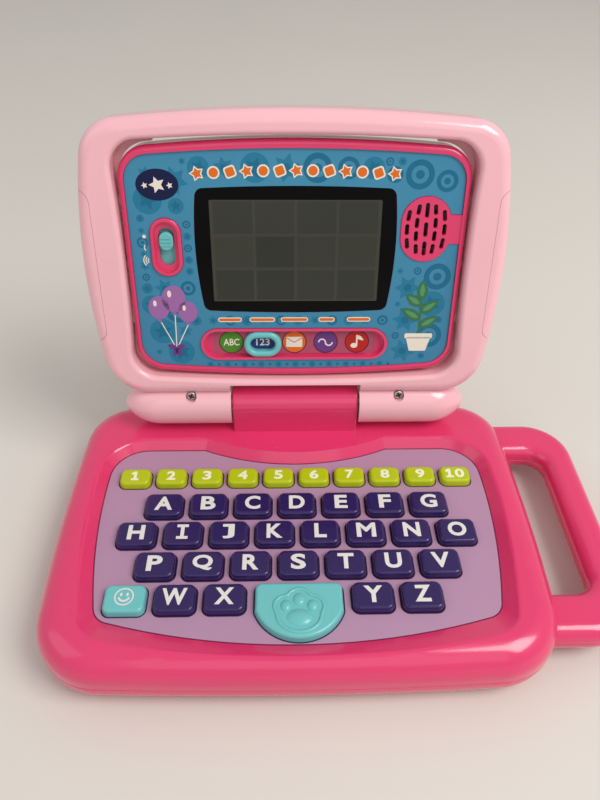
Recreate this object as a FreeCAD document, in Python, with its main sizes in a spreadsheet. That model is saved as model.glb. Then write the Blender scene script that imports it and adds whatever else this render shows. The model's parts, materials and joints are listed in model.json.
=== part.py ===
import FreeCAD, Part
import math
import os
import Sketcher

Vector = FreeCAD.Vector

# Driving sizes in millimetres and degrees: name, value, what it measures.
DRIVING_SIZES = (
    ("base_half_width", 128, "widest half width of the base"),
    ("base_front_reach", 88.3, "origin to the front of the base"),
    ("base_rear_reach", 90, "origin to the rear of the base"),
    ("base_height", 34, "table to the top of the rim"),
    ("base_waist", -5, "where the sides of the base are widest, behind the origin"),
    ("front_taper", 3.8, "how much narrower the base is at its front"),
    ("rear_taper", 4, "how much narrower the base is at its rear"),
    ("front_bow", 3.4, "bow of the front edge"),
    ("front_corner_round", 34, "plan radius of the front corners"),
    ("rear_corner_round", 29, "plan radius of the rear corners"),
    ("parting_height", 16, "joint between the two base shells"),
    ("seam_bevel", 0.35, "bevel of the casing seams"),
    ("rim_round", 14, "rounding of the outer top edge"),
    ("roof_round", 9, "rounding of the space under the rim"),
    ("foot_round", 14, "rounding of the outer bottom edge"),
    ("wall", 2.5, "shell wall"),
    ("handle_gap", 21.5, "finger gap between base and grip"),
    ("handle_bar", 18.5, "width of the grip bar"),
    ("handle_arm", 25, "width of each handle arm"),
    ("handle_rear_inset", 13, "handle from the rear of the base"),
    ("handle_front_inset", 20.3, "handle from the front of the base"),
    ("handle_root", 15, "handle arms inside the side of the base"),
    ("handle_thick", 17, "height of the handle section"),
    ("handle_round", 7, "rounding of the handle section"),
    ("handle_outer_round", 26, "outer plan radius of the handle"),
    ("handle_inner_round", 10, "inner plan radius of the handle"),
    ("well_depth", 5.5, "rim top to the keyboard deck"),
    ("well_side_slope", 5.2, "sloped edge of the well at its sides"),
    ("well_rear_slope", 4.3, "sloped edge of the well at its rear"),
    ("well_front_slope", 10, "sloped edge of the well at its front"),
    ("well_crest", 3, "rounding between the well and the rim"),
    ("rim_side_width", 21.7, "deck to the side of the base"),
    ("rim_rear_width", 39.3, "deck to the rear of the base"),
    ("rim_front_width", 15.5, "deck to the front of the base"),
    ("deck_thick", 2.5, "thickness of the keyboard deck"),
    ("deck_flange", 3, "deck margin hidden under the shell"),
    ("deck_waist", 12, "where the deck is widest, behind the origin"),
    ("deck_rear_taper", 2, "how much narrower the deck is at its rear"),
    ("deck_front_taper", 8.8, "how much narrower the deck is at its front"),
    ("deck_front_bow", 14.1, "bow of the front edge of the deck"),
    ("deck_bay_depth", 11.4, "bay in the rear edge of the deck"),
    ("deck_bay_inset", 53, "bay from the side of the deck"),
    ("deck_rear_round", 20, "rear corner radius of the deck"),
    ("deck_front_round", 10, "front corner radius of the deck"),
    ("letter_row_margin", 10.3, "end of the longest letter row to the deck side"),
    ("letter_gap", 3.4, "gap between letter keys in a row"),
    ("letter_row_gap", 3.3, "gap between letter rows"),
    ("number_row_margin", 5.8, "end of the number row to the deck side"),
    ("number_gap", 2.7, "gap between number keys"),
    ("number_row_extra", 1.06, "wider gap in front of the number row"),
    ("number_key_short", 3.4, "number keys shorter than letter keys"),
    ("key_rear_margin", 11.49, "number row to the rear of the deck"),
    ("key_front_margin", 23.55, "last row to the front of the deck"),
    ("paw_key_gap", 4.2, "gap beside the large key"),
    ("paw_key_margin", 1.5, "large key to the front of the deck"),
    ("key_rise", 4, "key top above the deck"),
    ("key_corner", 3.8, "plan radius of the key corners"),
    ("key_edge", 1.8, "rounding of the key tops"),
    ("key_draft", 8, "taper of the key sides in degrees"),
    ("key_travel", 2, "key stroke"),
    ("key_flange_thick", 1.4, "flange that keeps a key under the deck"),
    ("key_flange_lip", 0.7, "flange margin past the key hole"),
    ("key_dome_gap", 0.4, "pressed key to its rubber dome"),
    ("slide_gap", 0.35, "clearance of keys and sliders in their holes"),
    ("rest_gap", 0.3, "clearance under pieces that move"),
    ("board_thick", 1.6, "circuit board thickness"),
    ("board_margin", 7.3, "keyboard board inside the deck"),
    ("post_radius", 3, "posts that carry the boards"),
    ("post_inset", 10, "keyboard board posts from the board edge"),
    ("membrane_thick", 1, "rubber sheet thickness"),
    ("dome_rise", 0.7, "height of the rubber domes"),
    ("dome_radius", 4, "radius of the rubber domes"),
    ("cell_bay_width", 153, "battery space for three cells in line"),
    ("cell_bay_depth", 16, "battery space, front to rear"),
    ("cell_bay_height", 17, "table to the roof of the battery space"),
    ("cell_bay_inset", 34, "middle of the battery space to the rear of the base"),
    ("door_thick", 2.2, "battery door"),
    ("door_margin", 2, "ledge the battery door sits on"),
    ("door_groove_inset", 20, "finger groove from the end of the battery door"),
    ("door_groove_length", 16, "finger groove of the battery door"),
    ("boss_radius", 4, "screw boss"),
    ("boss_inset", 12, "screw bosses from the front and rear of the base"),
    ("boss_side_inset", 12.8, "side screw bosses from the side of the base"),
    ("rear_boss_inset", 39, "rear screw bosses from the side of the base"),
    ("front_boss_inset", 66, "front screw bosses from the side of the base"),
    ("side_boss_front", 58, "front side bosses from the front of the base"),
    ("side_boss_rear", 50, "rear side bosses from the rear of the base"),
    ("screw_head_radius", 2.7, "screw head"),
    ("screw_head_height", 2, "screw head"),
    ("screw_shank_radius", 1.25, "screw shank"),
    ("hinge_inset", 18, "hinge axis to the rear of the base"),
    ("lid_open_angle", 103.7, "lid opening at its stop in degrees"),
    ("knuckle_half_width", 36.6, "half width of the fixed knuckle"),
    ("knuckle_radius", 11.2, "fixed knuckle"),
    ("knuckle_root", 4, "fixed knuckle sunk into the upper shell"),
    ("knuckle_gap", 5.2, "lid frame above the fixed knuckle"),
    ("hinge_side_gap", 0.6, "gap beside the fixed knuckle"),
    ("barrel_radius", 13.4, "lid barrels"),
    ("barrel_clear", 1.6, "lid barrels above the rim"),
    ("barrel_inset", 10.7, "barrel tips from the side of the lid"),
    ("nose_length", 21, "tapering end of a lid barrel"),
    ("nose_tip_radius", 7, "tip of a lid barrel"),
    ("pin_radius", 4, "hinge pin"),
    ("pin_hold", 14, "hinge pin inside the knuckle"),
    ("pin_reach", 16, "hinge pin inside a barrel"),
    ("bearing_gap", 0.06, "radial running clearance"),
    ("closed_gap", 2.5, "closed lid above the rim"),
    ("lid_side_inset", 17.3, "lid from the side of the base"),
    ("lid_overhang", 1.6, "closed lid past the front of the base"),
    ("lid_top_taper", 8, "how much narrower the lid is at its top"),
    ("lid_foot_taper", 8.3, "how much narrower the lid is at its foot"),
    ("lid_top_bow", 6, "bow of the top edge of the lid"),
    ("lid_widest", 85, "hinge axis to the widest place of the lid"),
    ("lid_foot", 10.4, "hinge axis to the foot of the lid frame"),
    ("lid_top_round", 20, "upper corner radius of the lid"),
    ("lid_foot_round", 24, "lower corner radius of the lid"),
    ("lid_edge_round", 6.2, "rounding of the outer lid edge"),
    ("lid_lip_round", 2.6, "rounding of the opening edge"),
    ("lid_side_bar", 22.4, "flip screen to the side of the lid"),
    ("lid_top_bar", 13.6, "flip screen to the top of the lid"),
    ("lid_foot_bar", 4.1, "flip screen above the bay of the knuckle"),
    ("screen_bow", 4.8, "bow of the upper and lower screen edges"),
    ("screen_corner", 16, "corner radius of the flip screen"),
    ("screen_recess", 4.5, "flip screen behind the lid face"),
    ("screen_gap", 2.1, "gap above the flip screen"),
    ("screen_side_gap", 0.8, "gap beside the flip screen"),
    ("screen_foot_gap", 1, "gap below the flip screen"),
    ("opening_flare", 2.2, "opening wider near its corners"),
    ("opening_corner", 14, "corner radius of the lid opening"),
    ("web_thick", 3, "webs in the corners of the lid opening"),
    ("pivot_radius", 3.5, "flip pivot pin"),
    ("pivot_depth", 8.3, "flip pivot pin inside the screen"),
    ("cap_inset", 8.1, "inner edge of the pivot caps to the side of the lid"),
    ("cap_half_height", 40, "half height of the pivot caps"),
    ("cap_round", 6, "corner radius of the pivot caps"),
    ("cap_gap", 0.15, "seam around the pivot caps"),
    ("lid_screw_up", 8.3, "hinge axis to the lid screws"),
    ("lid_screw_inset", 40, "lid screws from the barrel tips"),
    ("lid_screw_seat", 8, "seat of the lid screw heads"),
    ("rim_side", 3, "screen rim beside the face plate"),
    ("rim_end", 4.4, "screen rim above and below the face plate"),
    ("rim_edge_round", 2.6, "rounding of the screen rim"),
    ("plate_sink", 1.6, "screen rim above the face plate seat"),
    ("plate_thick", 0.6, "face plate"),
    ("front_wall", 1.8, "front wall of the screen shell"),
    ("screen_wall", 2.4, "side wall of the screen shell"),
    ("window_side", 36.3, "touch window to the side of the screen"),
    ("window_top_margin", 22.7, "touch window to the top of the screen"),
    ("window_foot_margin", 38.2, "touch window to the foot of the screen"),
    ("window_top_taper", 1.7, "how much narrower the window is at its top"),
    ("window_foot_taper", 3.2, "how much narrower the window is at its foot"),
    ("window_bow", 1.3, "bow of the upper and lower window edges"),
    ("window_corner", 4, "corner radius of the touch window"),
    ("window_sink", 0.2, "window below the face plate"),
    ("window_flange", 1.2, "flange that holds the window from behind"),
    ("display_margin", 3.5, "display panel inside the window"),
    ("display_thick", 2.5, "display panel"),
    ("trough_shift", -0.6, "middle of the mode trough"),
    ("trough_margin", 19.3, "mode trough to the foot of the screen"),
    ("trough_width", 18.7, "mode trough over its rim"),
    ("trough_rim", 1.5, "rim of the mode trough"),
    ("trough_depth", 2, "plate seat to the trough floor"),
    ("trough_rise", 1.4, "trough rim above the plate seat"),
    ("mode_end_margin", 16.7, "last mode place to the end of the trough"),
    ("mode_ring_length", 20.8, "mode slider ring"),
    ("mode_ring_gap", 0.45, "mode slider ring inside the trough"),
    ("mode_ring_wall", 3.5, "width of the mode slider ring"),
    ("mode_ring_rise", 2.8, "mode slider ring above the plate seat"),
    ("mode_ring_edge", 1.5, "rounding of the mode slider ring"),
    ("mode_slit_width", 1.2, "slit for the foot of the mode slider"),
    ("volume_side", 15, "volume bezel to the touch window"),
    ("volume_shift", 10.2, "volume bezel above the flip axis"),
    ("volume_width", 16, "volume bezel"),
    ("volume_length", 30.6, "volume bezel"),
    ("volume_rim", 1.8, "rim of the volume bezel"),
    ("volume_rise", 1.8, "volume bezel above the plate seat"),
    ("volume_slot_width", 8, "slot of the volume slider"),
    ("volume_slot_length", 20, "slot of the volume slider"),
    ("volume_knob_length", 9.6, "volume knob"),
    ("volume_travel", 6.5, "volume slider stroke"),
    ("grille_side", 15.1, "sound grille to the touch window"),
    ("grille_shift", 19.6, "sound grille above the flip axis"),
    ("grille_width", 25.6, "sound grille"),
    ("grille_length", 33.7, "sound grille"),
    ("grille_rise", 1.1, "sound grille above the plate seat"),
    ("grille_neck", 15, "neck between grille and rim"),
    ("neck_round", 4, "rounding between grille and neck"),
    ("slot_width", 2.2, "slots of the sound grille"),
    ("slot_columns", 4.85, "pitch of the slot columns"),
    ("long_slot", 7.6, "slots of the middle column"),
    ("long_slot_pitch", 9.9, "pitch in the middle column"),
    ("inner_slot", 5.4, "slots of the inner columns"),
    ("inner_slot_pitch", 6.8, "pitch in the inner columns"),
    ("outer_slot", 5.8, "slots of the outer columns"),
    ("outer_slot_pitch", 7.2, "pitch in the outer columns"),
    ("speaker_radius", 13, "speaker frame"),
    ("main_board_side", 19.4, "main board to the side of the screen"),
    ("main_board_end", 22.4, "main board to the ends of the screen"),
    ("main_post_inset", 6.6, "main board posts from the board edge"),
)

doc = FreeCAD.newDocument("toy_laptop")
sheet = doc.addObject("Spreadsheet::Sheet", "dims")


class Size:
    """A length that carries its value and the sheet expression it comes from."""

    def __init__(self, value, text):
        self.value = value
        self.text = text

    def __add__(self, other):
        other = as_size(other)
        return Size(self.value + other.value, f"({self.text} + {other.text})")

    def __sub__(self, other):
        other = as_size(other)
        return Size(self.value - other.value, f"({self.text} - {other.text})")

    def __mul__(self, other):
        other = as_size(other)
        return Size(self.value * other.value, f"({self.text} * {other.text})")

    def __truediv__(self, other):
        other = as_size(other)
        return Size(self.value / other.value, f"({self.text} / {other.text})")

    def __neg__(self):
        return Size(-self.value, f"(0 - {self.text})")

    def root(self):
        return Size(math.sqrt(self.value), f"sqrt({self.text})")


def as_size(number):
    if isinstance(number, Size):
        return number
    return Size(float(number), f"({float(number)!r})")


def within(rounding, wall):
    """A rounding, limited by the wall that it is cut into."""
    room = wall - 1
    return Size(min(rounding.value, room.value), f"min({rounding.text}; {room.text})")


def fill_sheet():
    """Writes the driving sizes into the sheet and returns them by name."""
    named = {}
    for row, (name, value, note) in enumerate(DRIVING_SIZES, start=1):
        sheet.set(f"A{row}", name)
        sheet.set(f"B{row}", str(value))
        sheet.set(f"C{row}", note)
        sheet.setAlias(f"B{row}", name)
        named[name] = Size(float(value), f"dims.{name}")
    doc.recompute()
    return named


D = fill_sheet()


def derive_base(size):
    """Sizes of the base that follow from the driving ones."""
    size["handle_reach"] = size["base_half_width"] + size["handle_gap"] + size["handle_bar"]
    size["handle_rear"] = size["base_rear_reach"] - size["handle_rear_inset"]
    size["handle_front"] = size["base_front_reach"] - size["handle_front_inset"]
    size["deck_height"] = size["base_height"] - size["well_depth"]
    size["deck_half_width"] = size["base_half_width"] - size["rim_side_width"]
    size["deck_rear"] = size["base_rear_reach"] - size["rim_rear_width"]
    size["deck_rear_half"] = size["deck_half_width"] - size["deck_rear_taper"]
    size["deck_front_half"] = size["deck_half_width"] - size["deck_front_taper"]
    size["deck_front_mid"] = size["base_front_reach"] - size["rim_front_width"]
    size["deck_front_side"] = size["deck_front_mid"] - size["deck_front_bow"]
    size["deck_bay_half"] = size["deck_half_width"] - size["deck_bay_inset"]
    size["deck_bay_mid"] = size["deck_rear"] - size["deck_bay_depth"]
    size["boss_side_x"] = size["base_half_width"] - size["boss_side_inset"]
    size["boss_side_front"] = size["base_front_reach"] - size["side_boss_front"]
    size["boss_side_rear"] = size["base_rear_reach"] - size["side_boss_rear"]
    size["boss_rear_x"] = size["base_half_width"] - size["rear_boss_inset"]
    size["boss_rear_y"] = size["base_rear_reach"] - size["boss_inset"]
    size["boss_front_x"] = size["base_half_width"] - size["front_boss_inset"]
    size["boss_front_y"] = size["base_front_reach"] - size["boss_inset"]
    size["cell_bay_mid"] = size["base_rear_reach"] - size["cell_bay_inset"]


def derive_keys(size):
    """Key places and sizes, fitted to the deck."""
    size["letter_pitch"] = (size["deck_half_width"] - size["letter_row_margin"]) / 4
    size["letter_key_width"] = size["letter_pitch"] - size["letter_gap"]
    size["number_pitch"] = (size["deck_half_width"] - size["number_row_margin"]) / 5
    size["number_key_width"] = size["number_pitch"] - size["number_gap"]
    size["number_row"] = size["deck_bay_mid"] - size["key_rear_margin"]
    size["last_row"] = size["key_front_margin"] - size["deck_front_mid"]
    size["letter_row_pitch"] = (size["number_row"] - size["last_row"] - size["number_row_extra"]) / 4
    size["letter_key_depth"] = size["letter_row_pitch"] - size["letter_row_gap"]
    size["number_key_depth"] = size["letter_key_depth"] - size["number_key_short"]
    beside = size["letter_pitch"] * 1.5 - size["letter_key_width"] / 2
    size["paw_key_half"] = beside - size["paw_key_gap"]
    size["paw_key_rear"] = size["last_row"] + size["letter_key_depth"] / 2
    size["paw_key_front"] = size["paw_key_margin"] - size["deck_front_mid"]
    under = size["deck_height"] - size["deck_thick"] - size["rest_gap"]
    size["key_flange_top"] = under
    size["key_foot"] = under - size["key_flange_thick"]
    size["dome_top"] = size["key_foot"] - size["key_travel"] - size["key_dome_gap"]
    size["membrane_top"] = size["dome_top"] - size["dome_rise"]
    size["membrane_foot"] = size["membrane_top"] - size["membrane_thick"]
    size["board_level"] = size["membrane_foot"] - size["board_thick"]
    size["board_half_width"] = size["deck_half_width"] - size["board_margin"]
    size["board_front"] = size["deck_front_mid"] - size["board_margin"]
    size["board_rear"] = size["number_row"] + size["number_key_depth"] - size["number_key_short"] / 2


def derive_lid(size):
    """Lid sizes, so that the closed lid covers the base."""
    size["hinge_rear"] = size["base_rear_reach"] - size["hinge_inset"]
    size["hinge_height"] = size["base_height"] + size["barrel_radius"] + size["barrel_clear"]
    size["lid_half_thick"] = size["barrel_radius"] + size["barrel_clear"] - size["closed_gap"]
    size["lid_half_width"] = size["base_half_width"] - size["lid_side_inset"]
    size["lid_top_half"] = size["lid_half_width"] - size["lid_top_taper"]
    size["lid_foot_half"] = size["lid_half_width"] - size["lid_foot_taper"]
    size["lid_top_mid"] = size["hinge_rear"] + size["base_front_reach"] + size["lid_overhang"]
    size["lid_top_side"] = size["lid_top_mid"] - size["lid_top_bow"]
    size["barrel_half_width"] = size["lid_half_width"] - size["barrel_inset"]
    size["lid_foot_bay"] = size["knuckle_radius"] + size["knuckle_gap"]
    size["lid_screw_x"] = size["barrel_half_width"] - size["lid_screw_inset"]
    size["cap_line"] = size["lid_half_width"] - size["cap_inset"]


def derive_screen(size):
    """Flip screen sizes, fitted to the lid."""
    size["screen_half_width"] = size["lid_half_width"] - size["lid_side_bar"]
    size["screen_top"] = size["lid_top_mid"] - size["lid_top_bar"]
    size["screen_foot"] = size["lid_foot_bay"] + size["lid_foot_bar"]
    size["screen_half_height"] = (size["screen_top"] - size["screen_foot"]) / 2
    size["screen_axis"] = (size["screen_top"] + size["screen_foot"]) / 2
    size["screen_half_thick"] = size["lid_half_thick"] - size["screen_recess"]
    size["pivot_reach"] = size["screen_half_width"] - size["pivot_depth"]
    size["plate_seat"] = size["screen_half_thick"] - size["plate_sink"]
    size["window_half_width"] = size["screen_half_width"] - size["window_side"]
    size["window_top_half"] = size["window_half_width"] - size["window_top_taper"]
    size["window_foot_half"] = size["window_half_width"] - size["window_foot_taper"]
    size["window_top"] = size["screen_top"] - size["window_top_margin"]
    size["window_foot"] = size["screen_foot"] + size["window_foot_margin"]
    size["display_half_width"] = size["window_half_width"] - size["display_margin"]
    size["trough_up"] = size["screen_foot"] + size["trough_margin"]
    size["trough_length"] = size["window_half_width"] * 2
    size["trough_floor"] = size["plate_seat"] - size["trough_depth"]
    size["mode_step"] = (size["trough_length"] - size["mode_end_margin"] * 2) / 4
    size["mode_rest_x"] = size["trough_shift"] - size["mode_step"]
    inner = size["trough_width"] / 2 - size["trough_rim"]
    size["mode_ring_width"] = (inner - size["mode_ring_gap"]) * 2
    size["mode_hole_length"] = size["mode_ring_length"] - size["mode_ring_wall"] * 2
    size["mode_hole_width"] = size["mode_ring_width"] - size["mode_ring_wall"] * 2
    size["mode_ring_top"] = size["plate_seat"] + size["mode_ring_rise"]
    size["mode_slit_up"] = size["trough_up"] - inner + size["mode_slit_width"] * 0.75
    size["volume_x"] = -size["window_half_width"] - size["volume_side"]
    size["volume_up"] = size["screen_axis"] + size["volume_shift"]
    size["volume_knob_up"] = size["volume_up"] + size["volume_travel"] / 2
    size["grille_x"] = size["window_half_width"] + size["grille_side"]
    size["grille_up"] = size["screen_axis"] + size["grille_shift"]
    size["main_board_half_x"] = size["screen_half_width"] - size["main_board_side"]
    size["main_board_half_y"] = size["screen_half_height"] - size["main_board_end"]


derive_base(D)
derive_keys(D)
derive_lid(D)
derive_screen(D)
# Place on the chord of a quarter arc, as a share of its radius.
QUARTER_BOW = 1 - math.sqrt(0.5)


def bind(thing, name, size):
    thing.setExpression(name, as_size(size).text)


def new_body(label):
    body = doc.addObject("PartDesign::Body", label)
    body.Label = label
    body.AllowCompound = True
    return body


def new_sketch(body, level=0, role="XY_Plane"):
    """A sketch on an origin plane of its body, lifted along the plane's normal."""
    plane = [item for item in body.Origin.OriginFeatures if item.Role == role][0]
    sketch = body.newObject("Sketcher::SketchObject", body.Name + "_sketch")
    sketch.AttachmentSupport = [(plane, "")]
    sketch.MapMode = "FlatFace"
    bind(sketch, "AttachmentOffset.Base.z", level)
    return sketch


def pin_point(sketch, geometry, position, x, y):
    """Ties one point of a sketch to a pair of sizes."""
    for kind, size in (("DistanceX", as_size(x)), ("DistanceY", as_size(y))):
        rule = Sketcher.Constraint(kind, -1, 1, geometry, position, size.value)
        number = sketch.addConstraint(rule)
        sketch.setExpression(f"Constraints[{number}]", size.text)


def spot(stop):
    return Vector(as_size(stop[0]).value, as_size(stop[1]).value, 0)


def bow(x, y):
    """A place that the arc between two corners passes through."""
    return (x, y, "bow")


def soft(x, y, radius):
    """A corner that a tangent arc rounds off."""
    return (x, y, "soft", radius)


def leaving(start, middle, end):
    """Direction in which a straight or bowed side leaves its start."""
    if middle is None:
        return (end - start).normalize()
    spoke = start - Part.Arc(start, middle, end).toShape().Curve.Center
    tangent = Vector(-spoke.y, spoke.x, 0).normalize()
    return tangent if tangent.dot(middle - start) > 0 else -tangent


def outline_sides(stops):
    """Splits an outline into its sides: first corner, bow or None, next corner."""
    corners = [index for index in range(len(stops)) if len(stops[index]) != 3]
    sides = []
    for number, index in enumerate(corners):
        middle = stops[(index + 1) % len(stops)]
        following = stops[corners[(number + 1) % len(corners)]]
        sides.append((stops[index], middle if len(middle) == 3 else None, following))
    return sides


def corner_cut(before, after):
    """How far a rounded corner shortens the two sides that meet there, and the middle of its arc."""
    corner = after[0]
    place = spot(corner)
    back = leaving(place, spot(before[1]) if before[1] else None, spot(before[0]))
    ahead = leaving(place, spot(after[1]) if after[1] else None, spot(after[2]))
    half = back.getAngle(ahead) / 2
    radius = as_size(corner[3]).value
    length = radius / math.tan(half)
    middle = place + (back + ahead).normalize() * (radius / math.sin(half) - radius)
    return place + back * length, middle, place + ahead * length


def draw_side(sketch, side, start, end):
    """Draws one side and returns it with the numbers of its first and last point."""
    middle = side[1]
    if middle is None:
        drawn = sketch.addGeometry(Part.LineSegment(start, end), False)
    else:
        drawn = sketch.addGeometry(Part.Arc(start, spot(middle), end), False)
        mark = sketch.addGeometry(Part.Point(spot(middle)), True)
        sketch.addConstraint(Sketcher.Constraint("PointOnObject", mark, 1, drawn))
        pin_point(sketch, mark, 1, middle[0], middle[1])
    return ordered(sketch, drawn, start)


def ordered(sketch, drawn, start):
    """A line or arc with the numbers of its points, the one at the start first."""
    swapped = (sketch.getPoint(drawn, 1) - start).Length > (sketch.getPoint(drawn, 2) - start).Length
    return (drawn, 2, 1) if swapped else (drawn, 1, 2)


def draw_outline(sketch, stops):
    """Draws a closed outline of lines, of arcs through bows and of rounded corners."""
    sides = outline_sides(stops)
    cuts = []
    for number, side in enumerate(sides):
        cuts.append(corner_cut(sides[number - 1], side) if len(side[0]) == 4 else (spot(side[0]),) * 3)
    drawn = []
    for number, side in enumerate(sides):
        drawn.append(draw_side(sketch, side, cuts[number][2], cuts[(number + 1) % len(sides)][0]))
    for number, side in enumerate(sides):
        corner = side[0]
        before, before_first, before_last = drawn[number - 1]
        after, after_first, after_last = drawn[number]
        if len(corner) == 2:
            sketch.addConstraint(Sketcher.Constraint("Coincident", before, before_last, after, after_first))
            pin_point(sketch, after, after_first, corner[0], corner[1])
            continue
        mark = sketch.addGeometry(Part.Point(spot(corner)), True)
        sketch.addConstraint(Sketcher.Constraint("PointOnObject", mark, 1, before))
        sketch.addConstraint(Sketcher.Constraint("PointOnObject", mark, 1, after))
        pin_point(sketch, mark, 1, corner[0], corner[1])
        arc = sketch.addGeometry(Part.Arc(*cuts[number]), False)
        arc, arc_first, arc_last = ordered(sketch, arc, cuts[number][0])
        sketch.addConstraint(Sketcher.Constraint("Tangent", before, before_last, arc, arc_first))
        sketch.addConstraint(Sketcher.Constraint("Tangent", arc, arc_last, after, after_first))
        radius = as_size(corner[3])
        rule = sketch.addConstraint(Sketcher.Constraint("Radius", arc, radius.value))
        sketch.setExpression(f"Constraints[{rule}]", radius.text)
    return sketch


def draw_circle(sketch, x, y, radius):
    radius = as_size(radius)
    ring = sketch.addGeometry(Part.Circle(spot((x, y)), Vector(0, 0, 1), radius.value), False)
    pin_point(sketch, ring, 3, x, y)
    number = sketch.addConstraint(Sketcher.Constraint("Radius", ring, radius.value))
    sketch.setExpression(f"Constraints[{number}]", radius.text)
    return sketch


def box_stops(left, right, low, high):
    return [(left, low), (right, low), (right, high), (left, high)]


def rounded_box_stops(left, right, low, high, radius):
    """A rectangle with quarter-round corners."""
    near = as_size(radius) * QUARTER_BOW
    return [
        (left + radius, low),
        (right - radius, low),
        bow(right - near, low + near),
        (right, low + radius),
        (right, high - radius),
        bow(right - near, high - near),
        (right - radius, high),
        (left + radius, high),
        bow(left + near, high - near),
        (left, high - radius),
        (left, low + radius),
        bow(left + near, low + near),
    ]


def stadium_stops(x, y, length, width):
    """A long hole along the sketch's first axis with round ends."""
    reach = (as_size(length) - width) / 2
    radius = as_size(width) / 2
    return [
        (x - reach, y - radius),
        (x + reach, y - radius),
        bow(x + reach + radius, y),
        (x + reach, y + radius),
        (x - reach, y + radius),
        bow(x - reach - radius, y),
    ]


def upright_stadium_stops(x, y, width, length):
    """A long hole along the sketch's second axis with round ends."""
    reach = (as_size(length) - width) / 2
    radius = as_size(width) / 2
    return [
        (x + radius, y - reach),
        (x + radius, y + reach),
        bow(x, y + reach + radius),
        (x - radius, y + reach),
        (x - radius, y - reach),
        bow(x, y - reach - radius),
    ]


def pad(body, sketch, length, down=False, draft=None, both=False):
    feature = body.newObject("PartDesign::Pad", body.Name + "_pad")
    feature.Profile = sketch
    bind(feature, "Length", length)
    feature.Reversed = down
    if both:
        feature.SideType = "Symmetric"
    if draft is not None:
        bind(feature, "TaperAngle", -draft)
    doc.recompute()
    return feature


def pocket(body, sketch, depth, up=False, both=False):
    feature = body.newObject("PartDesign::Pocket", body.Name + "_pocket")
    feature.Profile = sketch
    bind(feature, "Length", depth)
    feature.Reversed = up
    if both:
        feature.SideType = "Symmetric"
    doc.recompute()
    return feature


def row(body, feature, pitch, count):
    """Repeats a feature along the body's X axis."""
    pattern = body.newObject("PartDesign::LinearPattern", body.Name + "_row")
    pattern.Originals = [feature]
    axis = [item for item in body.Origin.OriginFeatures if item.Role == "X_Axis"][0]
    pattern.Direction = (axis, [""])
    bind(pattern, "Length", as_size(pitch) * (count - 1))
    pattern.Occurrences = count
    body.Tip = pattern
    doc.recompute()
    return pattern


def dress(body, kind, size_name, size, wanted):
    """Rounds or bevels the edges of the body's last feature that are wanted."""
    base = body.Tip
    names = []
    for number, edge in enumerate(base.Shape.Edges, start=1):
        if wanted(edge):
            names.append(f"Edge{number}")
    if not names:
        raise RuntimeError("no edges found on " + body.Label)
    feature = body.newObject(kind, body.Name + "_edge")
    feature.Base = (base, names)
    bind(feature, size_name, size)
    doc.recompute()
    return feature


def round_edges(body, radius, wanted):
    return dress(body, "PartDesign::Fillet", "Radius", radius, wanted)


def bevel_edges(body, size, wanted):
    return dress(body, "PartDesign::Chamfer", "Size", size, wanted)


def is_upright(edge):
    box = edge.BoundBox
    return box.ZLength > 0.5 and box.XLength < 0.01 and box.YLength < 0.01


def lies_at(edge, level):
    box = edge.BoundBox
    level = as_size(level).value
    return abs(box.ZMin - level) < 0.001 and abs(box.ZMax - level) < 0.001


def upright_near(x, y, reach=1.0):
    """Chooses the upright edges beside a place and its mirror image."""
    x = abs(as_size(x).value)
    y = as_size(y).value

    def wanted(edge):
        middle = edge.BoundBox.Center
        return is_upright(edge) and math.hypot(abs(middle.x) - x, middle.y - y) < reach

    return wanted


def cylinder(body, radius, length, start, along, adds):
    """A cylinder that joins or leaves the body, starting at a place and running along X or Z."""
    kind = "PartDesign::AdditiveCylinder" if adds else "PartDesign::SubtractiveCylinder"
    feature = body.newObject(kind, body.Name + "_rod")
    bind(feature, "Radius", radius)
    bind(feature, "Height", length)
    turn = FreeCAD.Rotation(Vector(0, 1, 0), 90) if along == "X" else FreeCAD.Rotation()
    feature.Placement = FreeCAD.Placement(Vector(0, 0, 0), turn)
    for axis, size in zip("xyz", start):
        bind(feature, "Placement.Base." + axis, size)
    doc.recompute()
    return feature


def tilt_onto_lid(thing):
    """Stands a piece that was drawn flat on the open lid."""
    thing.Placement = FreeCAD.Placement(Vector(0, 0, 0), FreeCAD.Rotation(Vector(1, 0, 0), 45))
    bind(thing, "Placement.Base.y", D["hinge_rear"])
    bind(thing, "Placement.Base.z", D["hinge_height"])
    bind(thing, "Placement.Rotation.Angle", as_size(180) - D["lid_open_angle"])


def mirrored_pair(label, body):
    """One named piece made of a body and its mirror image."""
    twin = doc.addObject("Part::Mirroring", label + "_twin")
    twin.Source = body
    twin.Normal = (1, 0, 0)
    pair = doc.addObject("Part::Compound", label)
    pair.Links = [body, twin]
    pair.Label = label
    doc.recompute()
    return pair


# Base outline, shared by both shells; inset leaves a wall.
def base_stops(inset=0):
    side = D["base_half_width"] - inset
    front = D["base_front_reach"] - inset
    rear = D["base_rear_reach"] - inset
    front_x = side - D["front_taper"]
    rear_x = side - D["rear_taper"]
    front_y = front - D["front_bow"]
    return [
        (-front_x, -front_y),
        bow(as_size(0), -front),
        (front_x, -front_y),
        bow(side, D["base_waist"]),
        (rear_x, rear),
        (-rear_x, rear),
        bow(-side, D["base_waist"]),
    ]


def round_base_corners(body, inset=0):
    """Rounds the upright corners of a base outline."""
    stops = base_stops(inset)
    front_corner = stops[2]
    rear_corner = stops[4]
    round_edges(body, D["front_corner_round"] - inset, upright_near(*front_corner))
    round_edges(body, D["rear_corner_round"] - inset, upright_near(*rear_corner))


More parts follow.
